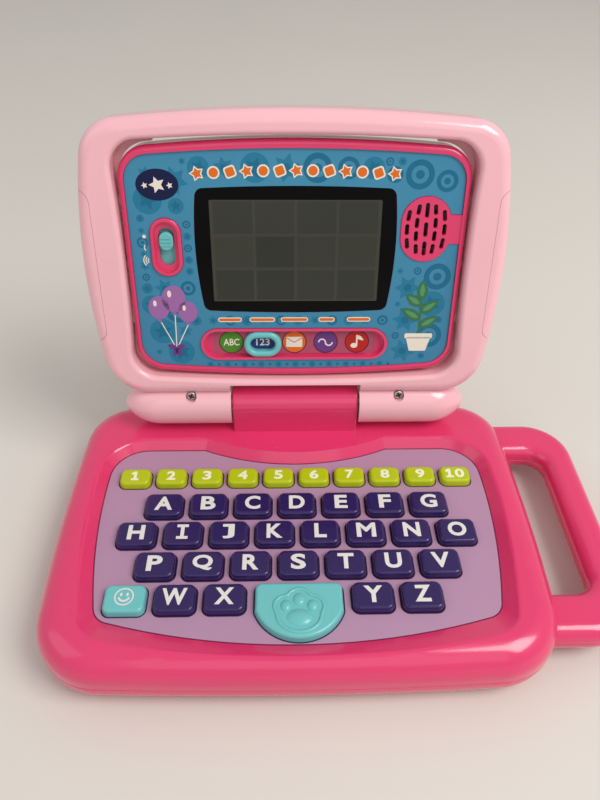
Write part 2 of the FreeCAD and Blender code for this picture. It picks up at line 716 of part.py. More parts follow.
def deck_stops(side_margin=0, rear_margin=0, front_margin=0):
    """Keyboard deck outline with its bay in the rear edge, grown by a margin on each side."""
    side = D["deck_half_width"] + side_margin
    rear_x = D["deck_rear_half"] + side_margin
    front_x = D["deck_front_half"] + side_margin
    rear = D["deck_rear"] + rear_margin
    front_y = -D["deck_front_side"] - front_margin
    bay_x = D["deck_bay_half"] - as_size(rear_margin) / 3
    front_round = D["deck_front_round"] + side_margin
    rear_round = D["deck_rear_round"] + side_margin
    return [
        soft(-front_x, front_y, front_round),
        bow(as_size(0), -D["deck_front_mid"] - front_margin),
        soft(front_x, front_y, front_round),
        bow(side, D["deck_waist"]),
        soft(rear_x, rear, rear_round),
        (bay_x, rear),
        bow(as_size(0), D["deck_bay_mid"] + rear_margin),
        (-bay_x, rear),
        soft(-rear_x, rear, rear_round),
        bow(-side, D["deck_waist"]),
    ]


def keyboard_well():
    """Block that the upper shell loses above the deck, with sloping sides."""
    well = new_body("keyboard_well")
    top = D["base_height"] + 1
    reach = (D["well_depth"] + 1) / D["well_depth"]
    side = D["well_side_slope"] * reach
    rear = D["well_rear_slope"] * reach
    front = D["well_front_slope"] * reach
    block = well.newObject("PartDesign::AdditiveLoft", "keyboard_well_loft")
    block.Profile = draw_outline(new_sketch(well, D["deck_height"]), deck_stops())
    block.Sections = [draw_outline(new_sketch(well, top), deck_stops(side, rear, front))]
    block.Ruled = True
    doc.recompute()
    return well


def boss_places():
    places = []
    for side in (-1, 1):
        places.append((D["boss_side_x"] * side, -D["boss_side_front"]))
        places.append((D["boss_side_x"] * side, D["boss_side_rear"]))
        places.append((D["boss_rear_x"] * side, D["boss_rear_y"]))
        places.append((D["boss_front_x"] * side, -D["boss_front_y"]))
    return places


def draw_bosses(sketch, radius):
    for x, y in boss_places():
        draw_circle(sketch, x, y, radius)
    return sketch


def handle_half(label, upper):
    """Half of the carry handle, cut at the parting plane, its arms reaching into the shell."""
    body = new_body(label)
    root = D["base_half_width"] - D["handle_root"]
    outer = D["handle_reach"]
    inner = outer - D["handle_bar"]
    rear = D["handle_rear"]
    front = -D["handle_front"]
    arm = D["handle_arm"]
    stops = [
        (root, front),
        (outer, front),
        (outer, rear),
        (root, rear),
        (root, rear - arm),
        (inner, rear - arm),
        (inner, front + arm),
        (root, front + arm),
    ]
    sketch = draw_outline(new_sketch(body, D["parting_height"]), stops)
    half = D["handle_thick"] / 2
    pad(body, sketch, half, down=not upper)
    outer_near = upright_near(outer, front)
    outer_far = upright_near(outer, rear)
    round_edges(body, D["handle_outer_round"], lambda edge: outer_near(edge) or outer_far(edge))
    inner_near = upright_near(inner, front + arm)
    inner_far = upright_near(inner, rear - arm)
    round_edges(body, D["handle_inner_round"], lambda edge: inner_near(edge) or inner_far(edge))
    level = D["parting_height"] + half if upper else D["parting_height"] - half
    root_x = root.value

    def is_rim(edge):
        return lies_at(edge, level) and edge.BoundBox.XMax > root_x + 0.01

    round_edges(body, D["handle_round"], is_rim)
    return body


def combine(body, other, kind):
    feature = body.newObject("PartDesign::Boolean", body.Name + "_" + kind.lower())
    feature.setObjects([other])
    feature.Type = kind
    doc.recompute()
    return feature


def join(body, other):
    return combine(body, other, "Fuse")


def cut(body, other):
    return combine(body, other, "Cut")


def keep(body, other):
    return combine(body, other, "Common")


def is_well_crest(edge):
    """Chooses the edges along which the slope of the well meets the rim, beside the bay."""
    box = edge.BoundBox
    low = D["deck_height"].value + 2
    side = D["deck_half_width"].value + D["well_side_slope"].value + 0.5
    rear = D["deck_rear"].value + D["well_rear_slope"].value + 0.5
    front = D["deck_front_mid"].value + D["well_front_slope"].value
    inside = box.XMax < side and box.XMin > -side and box.YMax < rear and box.YMin > -front
    beside = max(abs(box.XMin), abs(box.XMax)) > D["deck_bay_half"].value + 1
    sloping = edge.Curve.TypeId == "Part::GeomBSplineCurve"
    return inside and beside and sloping and box.ZMin > low


# Upper base shell with the fixed hinge knuckle and the well for the keyboard.
def make_base_top_shell():
    body = new_body("base_top_shell")
    parting = D["parting_height"]
    top = D["base_height"]
    deck = D["deck_height"]
    pad(body, draw_outline(new_sketch(body, parting), base_stops()), top - parting)
    round_base_corners(body)
    round_edges(body, within(D["rim_round"], top - parting), lambda edge: lies_at(edge, top))
    join(body, handle_half("handle_upper_half", True))
    bevel_edges(body, D["seam_bevel"], lambda edge: lies_at(edge, parting))
    cavity = new_body("base_top_cavity")
    pad(cavity, draw_outline(new_sketch(cavity, parting), base_stops(D["wall"])), deck - parting)
    round_base_corners(cavity, D["wall"])
    round_edges(cavity, within(D["roof_round"], deck - parting), lambda edge: lies_at(edge, deck))
    cut(body, cavity)
    cut(body, keyboard_well())
    round_edges(body, D["well_crest"], is_well_crest)
    axis_y = D["hinge_rear"]
    axis_z = D["hinge_height"]
    radius = D["knuckle_radius"]
    knuckle_stops = [
        (axis_y - radius, top - D["knuckle_root"]),
        (axis_y + radius, top - D["knuckle_root"]),
        (axis_y + radius, axis_z),
        bow(axis_y, axis_z + radius),
        (axis_y - radius, axis_z),
    ]
    knuckle = draw_outline(new_sketch(body, 0, "YZ_Plane"), knuckle_stops)
    pad(body, knuckle, D["knuckle_half_width"] * 2, both=True)
    half = D["knuckle_half_width"]

    def is_knuckle_end(edge):
        box = edge.BoundBox
        at_end = box.XLength < 0.001 and abs(abs(box.XMin) - half.value) < 0.001
        return at_end and box.ZMax > top.value + 0.5

    round_edges(body, 1.2, is_knuckle_end)
    hold = D["pin_hold"]
    cylinder(body, D["pin_radius"], hold + 1, (half - hold, axis_y, axis_z), "X", False)
    cylinder(body, D["pin_radius"], hold + 1, (-half - 1, axis_y, axis_z), "X", False)
    pad(body, draw_bosses(new_sketch(body, parting), D["boss_radius"]), deck - parting + 0.5)
    holes = draw_bosses(new_sketch(body, parting), D["screw_shank_radius"])
    pocket(body, holes, deck - parting - 2, up=True)
    return body


def make_base_bottom_shell():
    body = new_body("base_bottom_shell")
    parting = D["parting_height"]
    wall = D["wall"]
    pad(body, draw_outline(new_sketch(body, 0), base_stops()), parting)
    round_base_corners(body)
    round_edges(body, within(D["foot_round"], parting), lambda edge: lies_at(edge, 0))
    join(body, handle_half("handle_lower_half", False))
    bevel_edges(body, D["seam_bevel"], lambda edge: lies_at(edge, parting))
    cavity = new_body("base_bottom_cavity")
    pad(cavity, draw_outline(new_sketch(cavity, wall), base_stops(wall * 1.6)), parting - wall)
    round_base_corners(cavity, wall * 1.6)
    round_edges(cavity, within(D["foot_round"], parting) - wall, lambda edge: lies_at(edge, wall))
    cut(body, cavity)
    half_x = D["cell_bay_width"] / 2
    half_y = D["cell_bay_depth"] / 2
    mid = D["cell_bay_mid"]
    shell = D["door_margin"] + 1.5
    roof = D["cell_bay_height"] + 1.4
    outer = box_stops(-half_x - shell, half_x + shell, mid - half_y - shell, mid + half_y + shell)
    pad(body, draw_outline(new_sketch(body, wall - 0.5), outer), roof - wall + 0.5)
    bay = box_stops(-half_x, half_x, mid - half_y, mid + half_y)
    pocket(body, draw_outline(new_sketch(body, 0), bay), D["cell_bay_height"], up=True)
    margin = D["door_margin"]
    door = box_stops(-half_x - margin, half_x + margin, mid - half_y - margin, mid + half_y + margin)
    pocket(body, draw_outline(new_sketch(body, 0), door), D["door_thick"] + 0.2, up=True)
    pad(body, draw_bosses(new_sketch(body, wall - 0.5), D["boss_radius"] + 0.6), parting - wall + 0.5)
    head = D["screw_head_radius"] + 0.4
    pocket(body, draw_bosses(new_sketch(body, 0), head), parting / 2, up=True)
    pocket(body, draw_bosses(new_sketch(body, 0), D["screw_shank_radius"] + 0.2), parting + 1, up=True)
    posts = new_sketch(body, wall - 0.5)
    for side in (-1, 1):
        post_x = (D["board_half_width"] - D["post_inset"]) * side
        draw_circle(posts, post_x, D["post_inset"] - D["board_front"], D["post_radius"])
        draw_circle(posts, post_x, D["board_rear"] - D["post_inset"], D["post_radius"])
    draw_circle(posts, as_size(0), D["post_inset"] - D["board_front"], D["post_radius"])
    pad(body, posts, D["board_level"] - wall + 0.5)
    return body


# Key rows: the names, the pitch, the first place in pitches and the distance of the row from the origin.
LETTERS = "abcdefghijklmnopqrstuvwxyz"


def letter_names(first, last):
    return tuple("letter_key_" + letter for letter in LETTERS[LETTERS.index(first):LETTERS.index(last) + 1])


def letter_row(number):
    return D["last_row"] + D["letter_row_pitch"] * (3 - number)


def key_rows():
    numbers = tuple(f"number_key_{number}" for number in range(1, 11))
    letter = D["letter_pitch"]
    return (
        (numbers, D["number_pitch"], -4.5, D["number_row"]),
        (letter_names("a", "g"), letter, -3, letter_row(0)),
        (letter_names("h", "o"), letter, -3.5, letter_row(1)),
        (letter_names("p", "v"), letter, -3, letter_row(2)),
        (("smile_key",) + letter_names("w", "x"), letter, -3.5, letter_row(3)),
        (letter_names("y", "z"), letter, 1.5, letter_row(3)),
    )


def key_size(name):
    if name.startswith("number"):
        return D["number_key_width"], D["number_key_depth"]
    return D["letter_key_width"], D["letter_key_depth"]


def key_stops(name, x, y, grow=0):
    width, depth = key_size(name)
    half_x = width / 2 + grow
    half_y = depth / 2 + grow
    return rounded_box_stops(x - half_x, x + half_x, y - half_y, y + half_y, D["key_corner"] + grow)


def paw_key_stops(grow=0):
    """The large key: straight at the rear, a deep bow at the front."""
    half = D["paw_key_half"] + grow
    rear = D["paw_key_rear"] + grow
    front = D["paw_key_front"] - grow
    shoulder = (D["paw_key_rear"] + D["paw_key_front"]) / 2
    radius = D["key_corner"] + grow
    near = radius * QUARTER_BOW
    return [
        (half, shoulder),
        (half, rear - radius),
        bow(half - near, rear - near),
        (half - radius, rear),
        (radius - half, rear),
        bow(near - half, rear - near),
        (-half, rear - radius),
        (-half, shoulder),
        bow(as_size(0), front),
    ]


def make_key(name, stops_for):
    """A key cap with its shaft through the deck and the flange that keeps it there."""
    body = new_body(name)
    under = D["key_flange_top"]
    low = D["key_foot"]
    lip = D["slide_gap"] + D["key_flange_lip"]
    pad(body, draw_outline(new_sketch(body, low), stops_for(lip)), D["key_flange_thick"])
    pad(body, draw_outline(new_sketch(body, under), stops_for(0)), D["deck_height"] - under)
    cap = draw_outline(new_sketch(body, D["deck_height"]), stops_for(0))
    pad(body, cap, D["key_rise"], draft=D["key_draft"])
    top = D["deck_height"] + D["key_rise"]
    round_edges(body, D["key_edge"], lambda edge: lies_at(edge, top))
    return body


def make_keys():
    keys = []
    for names, pitch, first, y in key_rows():
        for number, name in enumerate(names):
            x = pitch * (first + number)
            keys.append(make_key(name, lambda grow: key_stops(name, x, y, grow)))
    keys.append(make_key("paw_key", paw_key_stops))
    return keys


def make_keyboard_deck():
    body = new_body("keyboard_deck")
    top = D["deck_height"]
    thick = D["deck_thick"]
    margin = D["deck_flange"]
    pad(body, draw_outline(new_sketch(body, top - thick), deck_stops(margin, margin, margin)), thick)
    gap = D["slide_gap"]
    for names, pitch, first, y in key_rows():
        hole = draw_outline(new_sketch(body, top), key_stops(names[0], pitch * first, y, gap))
        row(body, pocket(body, hole, thick), pitch, len(names))
    pocket(body, draw_outline(new_sketch(body, top), paw_key_stops(gap)), thick)
    return body


def board_stops(inset=0):
    side = D["board_half_width"] - inset
    return box_stops(-side, side, -D["board_front"] + inset, D["board_rear"] - inset)


def make_key_membrane():
    body = new_body("key_membrane")
    top = D["membrane_top"]
    sheet_sketch = draw_outline(new_sketch(body, D["membrane_foot"]), board_stops(as_size(1)))
    pad(body, sheet_sketch, D["membrane_thick"])
    for names, pitch, first, y in key_rows():
        dome = draw_circle(new_sketch(body, top - 0.2), pitch * first, y, D["dome_radius"])
        row(body, pad(body, dome, D["dome_rise"] + 0.2), pitch, len(names))
    middle = (D["paw_key_rear"] + D["paw_key_front"]) / 2
    paw = draw_circle(new_sketch(body, top - 0.2), as_size(0), middle, D["dome_radius"])
    pad(body, paw, D["dome_rise"] + 0.2)
    return body


def make_keyboard_board():
    body = new_body("keyboard_board")
    pad(body, draw_outline(new_sketch(body, D["board_level"]), board_stops()), D["board_thick"])
    return body


def make_battery_door():
    """Long door with a finger groove and the seat of its screw."""
    body = new_body("battery_door")
    gap = D["slide_gap"] / 2
    half_x = D["cell_bay_width"] / 2 + D["door_margin"] - gap
    half_y = D["cell_bay_depth"] / 2 + D["door_margin"] - gap
    mid = D["cell_bay_mid"]
    level = as_size(0.2)
    outline = box_stops(-half_x, half_x, mid - half_y, mid + half_y)
    pad(body, draw_outline(new_sketch(body, level), outline), D["door_thick"])
    groove = stadium_stops(half_x - D["door_groove_inset"], mid, D["door_groove_length"], as_size(6))
    pocket(body, draw_outline(new_sketch(body, level), groove), D["door_thick"] / 2, up=True)
    screw_x = D["door_groove_inset"] - half_x
    seat = draw_circle(new_sketch(body, level), screw_x, mid, D["screw_head_radius"] + 0.4)
    pocket(body, seat, D["door_thick"] * 0.6, up=True)
    return body


def make_battery_contacts():
    """Contact plates at both ends of the battery space, each with a raised button."""
    body = new_body("battery_contacts")
    half_x = D["cell_bay_width"] / 2
    half_y = D["cell_bay_depth"] / 2 - 1
    mid = D["cell_bay_mid"]
    thick = as_size(0.5)
    low = D["door_thick"] + 1.5
    tall = D["cell_bay_height"] - low - 0.5
    for side in (-1, 1):
        face = half_x * side
        inner = face - thick * side
        near, far = (face, inner) if side < 0 else (inner, face)
        plate = box_stops(near, far, mid - half_y, mid + half_y)
        pad(body, draw_outline(new_sketch(body, low), plate), tall)
        button = draw_circle(new_sketch(body, inner, "YZ_Plane"), mid, low + tall / 2, 3)
        pad(body, button, as_size(1.2), down=side > 0)
    return body


def make_base_screws():
    body = new_body("base_screws")
    seat = D["parting_height"] / 2
    head = D["screw_head_height"]
    pad(body, draw_bosses(new_sketch(body, seat - head), D["screw_head_radius"]), head)
    shank = draw_bosses(new_sketch(body, seat - 0.2), D["screw_shank_radius"])
    pad(body, shank, D["deck_height"] - seat - 4)
    return body


def make_hinge_pins():
    body = new_body("hinge_pins")
    half = D["knuckle_half_width"]
    length = D["pin_hold"] + D["hinge_side_gap"] + D["pin_reach"]
    inner = half - D["pin_hold"]
    for start in (inner, -inner - length):
        cylinder(body, D["pin_radius"], length, (start, D["hinge_rear"], D["hinge_height"]), "X", True)
    return body


# Lid pieces are drawn flat: X across, Y up the lid from the hinge axis, Z out of its front face.
def lid_stops():
    foot = D["lid_foot"]
    foot_x = D["lid_foot_half"]
    side = D["lid_half_width"]
    top_x = D["lid_top_half"]
    top_y = D["lid_top_side"]
    return [
        (-foot_x, foot),
        (foot_x, foot),
        bow(side, D["lid_widest"]),
        (top_x, top_y),
        bow(as_size(0), D["lid_top_mid"]),
        (-top_x, top_y),
        bow(-side, D["lid_widest"]),
    ]


def round_lid_corners(body):
    round_edges(body, D["lid_foot_round"], upright_near(D["lid_foot_half"], D["lid_foot"]))
    round_edges(body, D["lid_top_round"], upright_near(D["lid_top_half"], D["lid_top_side"]))


def screen_stops(margin=0):
    side = D["screen_half_width"] + margin
    tall = D["screen_half_height"] + margin
    axis = D["screen_axis"]
    corner = tall - D["screen_bow"]
    return [
        (-side, axis - corner),
        bow(as_size(0), axis - tall),
        (side, axis - corner),
        (side, axis + corner),
        bow(as_size(0), axis + tall),
        (-side, axis + corner),
    ]


def round_screen_corners(body, margin=0):
    stops = screen_stops(margin)
    low = upright_near(*stops[2])
    high = upright_near(*stops[3])
    round_edges(body, D["screen_corner"] + margin, lambda edge: low(edge) or high(edge))


def opening_stops():
    """Opening for the flip screen, flared toward its corners."""
    side = D["screen_half_width"] + D["screen_side_gap"]
    flared = side + D["opening_flare"]
    axis = D["screen_axis"]
    foot = D["screen_foot"] - D["screen_foot_gap"]
    top = D["screen_top"] + D["screen_gap"]
    bend = D["screen_bow"] * 0.7
    return [
        (-flared, foot + bend),
        bow(as_size(0), foot),
        (flared, foot + bend),
        bow(side, axis),
        (flared, top - bend),
        bow(as_size(0), top),
        (-flared, top - bend),
        bow(-side, axis),
    ]


def opening_tool(label, level, length):
    tool = new_body(label)
    pad(tool, draw_outline(new_sketch(tool, level), opening_stops()), length)
    stops = opening_stops()
    low = upright_near(*stops[2])
    high = upright_near(*stops[4])
    round_edges(tool, D["opening_corner"], lambda edge: low(edge) or high(edge))
    return tool


def barrel_stops(side):
    """Half section of a hinge barrel whose end is drawn to a nose by two tangent arcs."""
    start = D["knuckle_half_width"] + D["hinge_side_gap"]
    tip = D["barrel_half_width"]
    radius = D["barrel_radius"]
    length = D["nose_length"]
    small = D["nose_tip_radius"]
    run = length - small
    large = (run * run + radius * radius - small * small) / ((radius - small) * 2)
    across = run / (large - small)
    up = (large - radius) / (large - small)
    flank = (across * across + (up + 1) * (up + 1)).root()
    cap = ((across + 1) * (across + 1) + up * up).root()
    shoulder = tip - length
    centre = tip - small
    places = [
        (start, as_size(0)),
        (start, radius),
        (shoulder, radius),
        bow(shoulder + large * across / flank, radius - large + large * (up + 1) / flank),
        (centre + small * across, small * up),
        bow(centre + small * (across + 1) / cap, small * up / cap),
        (tip, as_size(0)),
    ]
    return [(place[0] * side,) + tuple(place[1:]) for place in places]


def half_turn(body, sketch, back):
    """Revolves a half section through half a turn about the hinge axis."""
    feature = body.newObject("PartDesign::Revolution", body.Name + "_barrel")
    feature.Profile = sketch
    feature.ReferenceAxis = (sketch, ["H_Axis"])
    feature.Angle = 180
    feature.Reversed = back
    doc.recompute()
    return feature


def cap_zone(label, grow):
    """Block that holds the right pivot cap, rounded toward the middle of the lid."""
    body = new_body(label)
    left = D["cap_line"] - grow
    right = D["lid_half_width"] + 8
    low = D["screen_axis"] - D["cap_half_height"] - grow
    high = D["screen_axis"] + D["cap_half_height"] + grow
    thick = D["lid_half_thick"] + 2
    pad(body, draw_outline(new_sketch(body, 0), box_stops(left, right, low, high)), thick * 2, both=True)
    near = upright_near(left, low)
    far = upright_near(left, high)
    round_edges(body, D["cap_round"], lambda edge: near(edge) or far(edge))
    return body


def lid_screw_sketch(body, level, radius):
    sketch = new_sketch(body, level)
    for side in (-1, 1):
        draw_circle(sketch, D["lid_screw_x"] * side, D["lid_screw_up"], radius)
    return sketch


def make_lid_half(label, front):
    """One half of the lid frame with its halves of the hinge barrels."""
    body = new_body(label)
    thick = D["lid_half_thick"]
    level = thick if front else -thick
    pad(body, draw_outline(new_sketch(body, 0), lid_stops()), thick, down=not front)
    round_lid_corners(body)
    round_edges(body, D["lid_edge_round"], lambda edge: lies_at(edge, level))
    bevel_edges(body, D["seam_bevel"], lambda edge: lies_at(edge, 0))
    start = as_size(-1) if front else -thick - 1
    cut(body, opening_tool(label + "_opening", start, thick + 2))
    inner = D["screen_half_width"].value + D["screen_side_gap"].value + D["opening_flare"].value + 0.5
    tall = D["screen_half_height"].value + D["screen_gap"].value + 0.5
    axis = D["screen_axis"].value

    def is_lip(edge):
        box = edge.BoundBox
        beside = max(abs(box.XMin), abs(box.XMax)) < inner
        return lies_at(edge, level) and beside and box.YMin > axis - tall and box.YMax < axis + tall

    round_edges(body, D["lid_lip_round"], is_lip)
    bay = D["knuckle_half_width"] + D["hinge_side_gap"]
    clearing = box_stops(-bay, bay, as_size(0), D["lid_foot_bay"])
    pocket(body, draw_outline(new_sketch(body, 0), clearing), thick + 1, up=front)
    for side in (-1, 1):
        half_turn(body, draw_outline(new_sketch(body, 0), barrel_stops(side)), not front)
    bore = D["pin_radius"] + D["bearing_gap"]
    depth = D["pin_reach"] + 0.5
    cylinder(body, bore, depth + 1, (bay - 1, as_size(0), as_size(0)), "X", False)
    cylinder(body, bore, depth + 1, (-bay - depth, as_size(0), as_size(0)), "X", False)
    pivot = D["pivot_radius"] + D["bearing_gap"]
    inner_x = D["screen_half_width"]
    reach = D["cap_line"] - inner_x + 2
    cylinder(body, pivot, reach, (inner_x, D["screen_axis"], as_size(0)), "X", False)
    cylinder(body, pivot, reach, (-inner_x - reach, D["screen_axis"], as_size(0)), "X", False)
    right_zone = cap_zone(label + "_cap_zone", D["cap_gap"])
    cut(body, right_zone)
    left_zone = cap_zone(label + "_cap_zone_left", D["cap_gap"])
    left_zone.Placement = FreeCAD.Placement(Vector(0, 0, 0), FreeCAD.Rotation(Vector(0, 0, 1), 180))
    bind(left_zone, "Placement.Base.y", D["screen_axis"] * 2)
    cut(body, left_zone)
    if front:
        head = D["screw_head_radius"] + 0.4
        pocket(body, lid_screw_sketch(body, thick + 3, head), thick + 3 - D["lid_screw_seat"])
        pocket(body, lid_screw_sketch(body, thick, D["screw_shank_radius"] + 0.2), thick + 1)
    else:
        pocket(body, lid_screw_sketch(body, 0, D["screw_shank_radius"]), D["lid_screw_seat"])
        add_corner_webs(body, label)
    tilt_onto_lid(body)
    doc.recompute()
    return body


def add_corner_webs(body, label):
    """Thin webs that close the corners between the frame and the flip screen."""
    thick = D["web_thick"]
    web = opening_tool(label + "_webs", -thick, thick)
    screen = new_body(label + "_web_screen")
    margin = D["screen_side_gap"]
    pad(screen, draw_outline(new_sketch(screen, -thick - 1), screen_stops(margin)), thick + 2)
    round_screen_corners(screen, margin)
    cut(web, screen)
    side = D["screen_half_width"]
    tall = D["screen_half_height"]
    axis = D["screen_axis"]
    cross = box_stops(-side * 0.8, side * 0.8, axis - tall * 1.2, axis + tall * 1.2)
    pocket(web, draw_outline(new_sketch(web, 0), cross), thick)
    waist = box_stops(-side * 1.2, side * 1.2, axis - tall * 0.55, axis + tall * 0.55)
    pocket(web, draw_outline(new_sketch(web, 0), waist), thick)
    join(body, web)


def make_lid_screws():
    body = new_body("lid_screws")
    seat = D["lid_screw_seat"]
    pad(body, lid_screw_sketch(body, seat, D["screw_head_radius"]), D["screw_head_height"])
    pad(body, lid_screw_sketch(body, seat + 0.2, D["screw_shank_radius"]), seat * 1.8, down=True)
    tilt_onto_lid(body)
    return body


def make_pivot_caps():
    """Side caps of the lid, each carrying the pin that the screen turns on."""
    body = new_body("pivot_cap_right")
    thick = D["lid_half_thick"]
    pad(body, draw_outline(new_sketch(body, 0), lid_stops()), thick * 2, both=True)
    round_lid_corners(body)
    round_edges(body, D["lid_edge_round"], lambda edge: lies_at(edge, thick))
    round_edges(body, D["lid_edge_round"], lambda edge: lies_at(edge, -thick))
    keep(body, cap_zone("pivot_cap_zone", as_size(0)))
    start = D["pivot_reach"]
    middle = (start, D["screen_axis"], as_size(0))
    cylinder(body, D["pivot_radius"], D["cap_line"] - start + 1, middle, "X", True)
    tilt_onto_lid(body)
    doc.recompute()
    return mirrored_pair("pivot_caps", body)


# Flip screen pieces, drawn flat like the lid.
def panel_stops(inset=0):
    """Face plate outline inside the screen rim."""
    side = D["screen_half_width"] - D["rim_side"] - inset
    tall = D["screen_half_height"] - D["rim_end"] - inset
    axis = D["screen_axis"]
    corner = tall - D["screen_bow"] * 0.8
    return [
        (-side, axis - corner),
        bow(as_size(0), axis - tall),
        (side, axis - corner),
        (side, axis + corner),
        bow(as_size(0), axis + tall),
        (-side, axis + corner),
    ]


def panel_block(label, level, length, inset=0):
    block = new_body(label)
    pad(block, draw_outline(new_sketch(block, level), panel_stops(inset)), length)
    stops = panel_stops(inset)
    low = upright_near(*stops[2])
    high = upright_near(*stops[3])
    radius = D["screen_corner"] - D["rim_side"] - inset
    round_edges(block, radius, lambda edge: low(edge) or high(edge))
    return block


def window_stops(grow=0):
    top = D["window_top"] + grow
    foot = D["window_foot"] - grow
    bend = D["window_bow"]
    middle = (D["window_top"] + D["window_foot"]) / 2
    top_x = D["window_top_half"] + grow
    foot_x = D["window_foot_half"] + grow
    side = D["window_half_width"] + grow
    return [
        (-foot_x, foot + bend),
        bow(as_size(0), foot),
        (foot_x, foot + bend),
        bow(side, middle),
        (top_x, top - bend),
        bow(as_size(0), top),
        (-top_x, top - bend),
        bow(-side, middle),
    ]


def window_block(label, level, length, grow=0):
    block = new_body(label)
    pad(block, draw_outline(new_sketch(block, level), window_stops(grow)), length)
    stops = window_stops(grow)
    low = upright_near(*stops[2])
    high = upright_near(*stops[4])
    round_edges(block, D["window_corner"] + grow, lambda edge: low(edge) or high(edge))
    return block


def trough_sketch(body, level, inset=0):
    length = D["trough_length"] - as_size(inset) * 2
    width = D["trough_width"] - as_size(inset) * 2
    stops = stadium_stops(D["trough_shift"], D["trough_up"], length, width)
    return draw_outline(new_sketch(body, level), stops)


def volume_sketch(body, level, inset=0):
    width = D["volume_width"] - as_size(inset) * 2
    length = D["volume_length"] - as_size(inset) * 2
    stops = upright_stadium_stops(D["volume_x"], D["volume_up"], width, length)
    return draw_outline(new_sketch(body, level), stops)


def grille_sketch(body, level, inset=0):
    width = D["grille_width"] - as_size(inset) * 2
    length = D["grille_length"] - as_size(inset) * 2
    stops = upright_stadium_stops(D["grille_x"], D["grille_up"], width, length)
    return draw_outline(new_sketch(body, level), stops)


def grille_neck_sketch(body, level, inset=0):
    """Neck that flares into the grille with two hollow roundings."""
    half = D["grille_neck"] / 2 - inset
    edge = D["screen_half_width"] - D["rim_side"] + 0.5
    up = D["grille_up"]
    flare = D["neck_round"]
    start = D["grille_x"] + D["grille_width"] / 2 - flare * 0.7
    near = flare * QUARTER_BOW
    stops = [
        (start, up - half - flare),
        bow(start + near, up - half - near),
        (start + flare, up - half),
        (edge, up - half),
        (edge, up + half),
        (start + flare, up + half),
        bow(start + near, up + half + near),
        (start, up + half + flare),
    ]
    return draw_outline(new_sketch(body, level), stops)


def slanted_slot_stops(x, y, width, length, lean):
    """A long hole with round ends that leans from the sketch's second axis."""
    reach = (length - width) / 2
    radius = width / 2
    along_x = math.sin(lean)
    along_y = math.cos(lean)
    end = reach + radius
    return [
        (x + radius * along_y - reach * along_x, y - radius * along_x - reach * along_y),
        (x + radius * along_y + reach * along_x, y - radius * along_x + reach * along_y),
        bow(x + end * along_x, y + end * along_y),
        (x - radius * along_y + reach * along_x, y + radius * along_x + reach * along_y),
        (x - radius * along_y - reach * along_x, y + radius * along_x - reach * along_y),
        bow(x - end * along_x, y - end * along_y),
    ]


# Columns of the sound grille: place, number of slots, names of slot length and pitch.
GRILLE_COLUMNS = (
    (-2, 3, "outer_slot", "outer_slot_pitch"),
    (-1, 4, "inner_slot", "inner_slot_pitch"),
    (0, 3, "long_slot", "long_slot_pitch"),
    (1, 4, "inner_slot", "inner_slot_pitch"),
    (2, 3, "outer_slot", "outer_slot_pitch"),
)
# Lean of a slot in degrees, for each column and each pitch away from the middle.
SLOT_LEAN = 4


def cut_grille_slots(body, level, depth):
    """Slots in columns that bulge away from the middle one."""
    for column, count, length, pitch in GRILLE_COLUMNS:
        sketch = new_sketch(body, level)
        for number in range(count):
            place = number - (count - 1) / 2
            lean = math.radians(-SLOT_LEAN * column * place)
            x = D["grille_x"] + D["slot_columns"] * column + D[pitch] * (place * math.tan(lean) / 2)
            y = D["grille_up"] + D[pitch] * place
            draw_outline(sketch, slanted_slot_stops(x, y, D["slot_width"], D[length], lean))
        pocket(body, sketch, depth)


def pivot_block_stops(side):
    """Block in a side wall that the flip pivot runs in."""
    inner = D["pivot_reach"] - 1.5
    outer = D["screen_half_width"] - 1
    half = D["pivot_radius"] + 3
    axis = D["screen_axis"]
    if side < 0:
        return box_stops(-outer, -inner, axis - half, axis + half)
    return box_stops(inner, outer, axis - half, axis + half)


def add_pivot_bearings(body, level, down):
    """Half bearings for the flip pivots, from the mid plane to a level inside the shell."""
    for side in (-1, 1):
        pad(body, draw_outline(new_sketch(body, 0), pivot_block_stops(side)), level, down=down)
    bore = D["pivot_radius"] + D["bearing_gap"]
    start = D["pivot_reach"] - 0.5
    length = D["screen_half_width"] - start + 1
    cylinder(body, bore, length, (start, D["screen_axis"], as_size(0)), "X", False)
    cylinder(body, bore, length, (-start - length, D["screen_axis"], as_size(0)), "X", False)


def screen_cavity(label, level, length):
    block = new_body(label)
    inset = -D["screen_wall"]
    pad(block, draw_outline(new_sketch(block, level), screen_stops(inset)), length)
    round_screen_corners(block, inset)
    return block


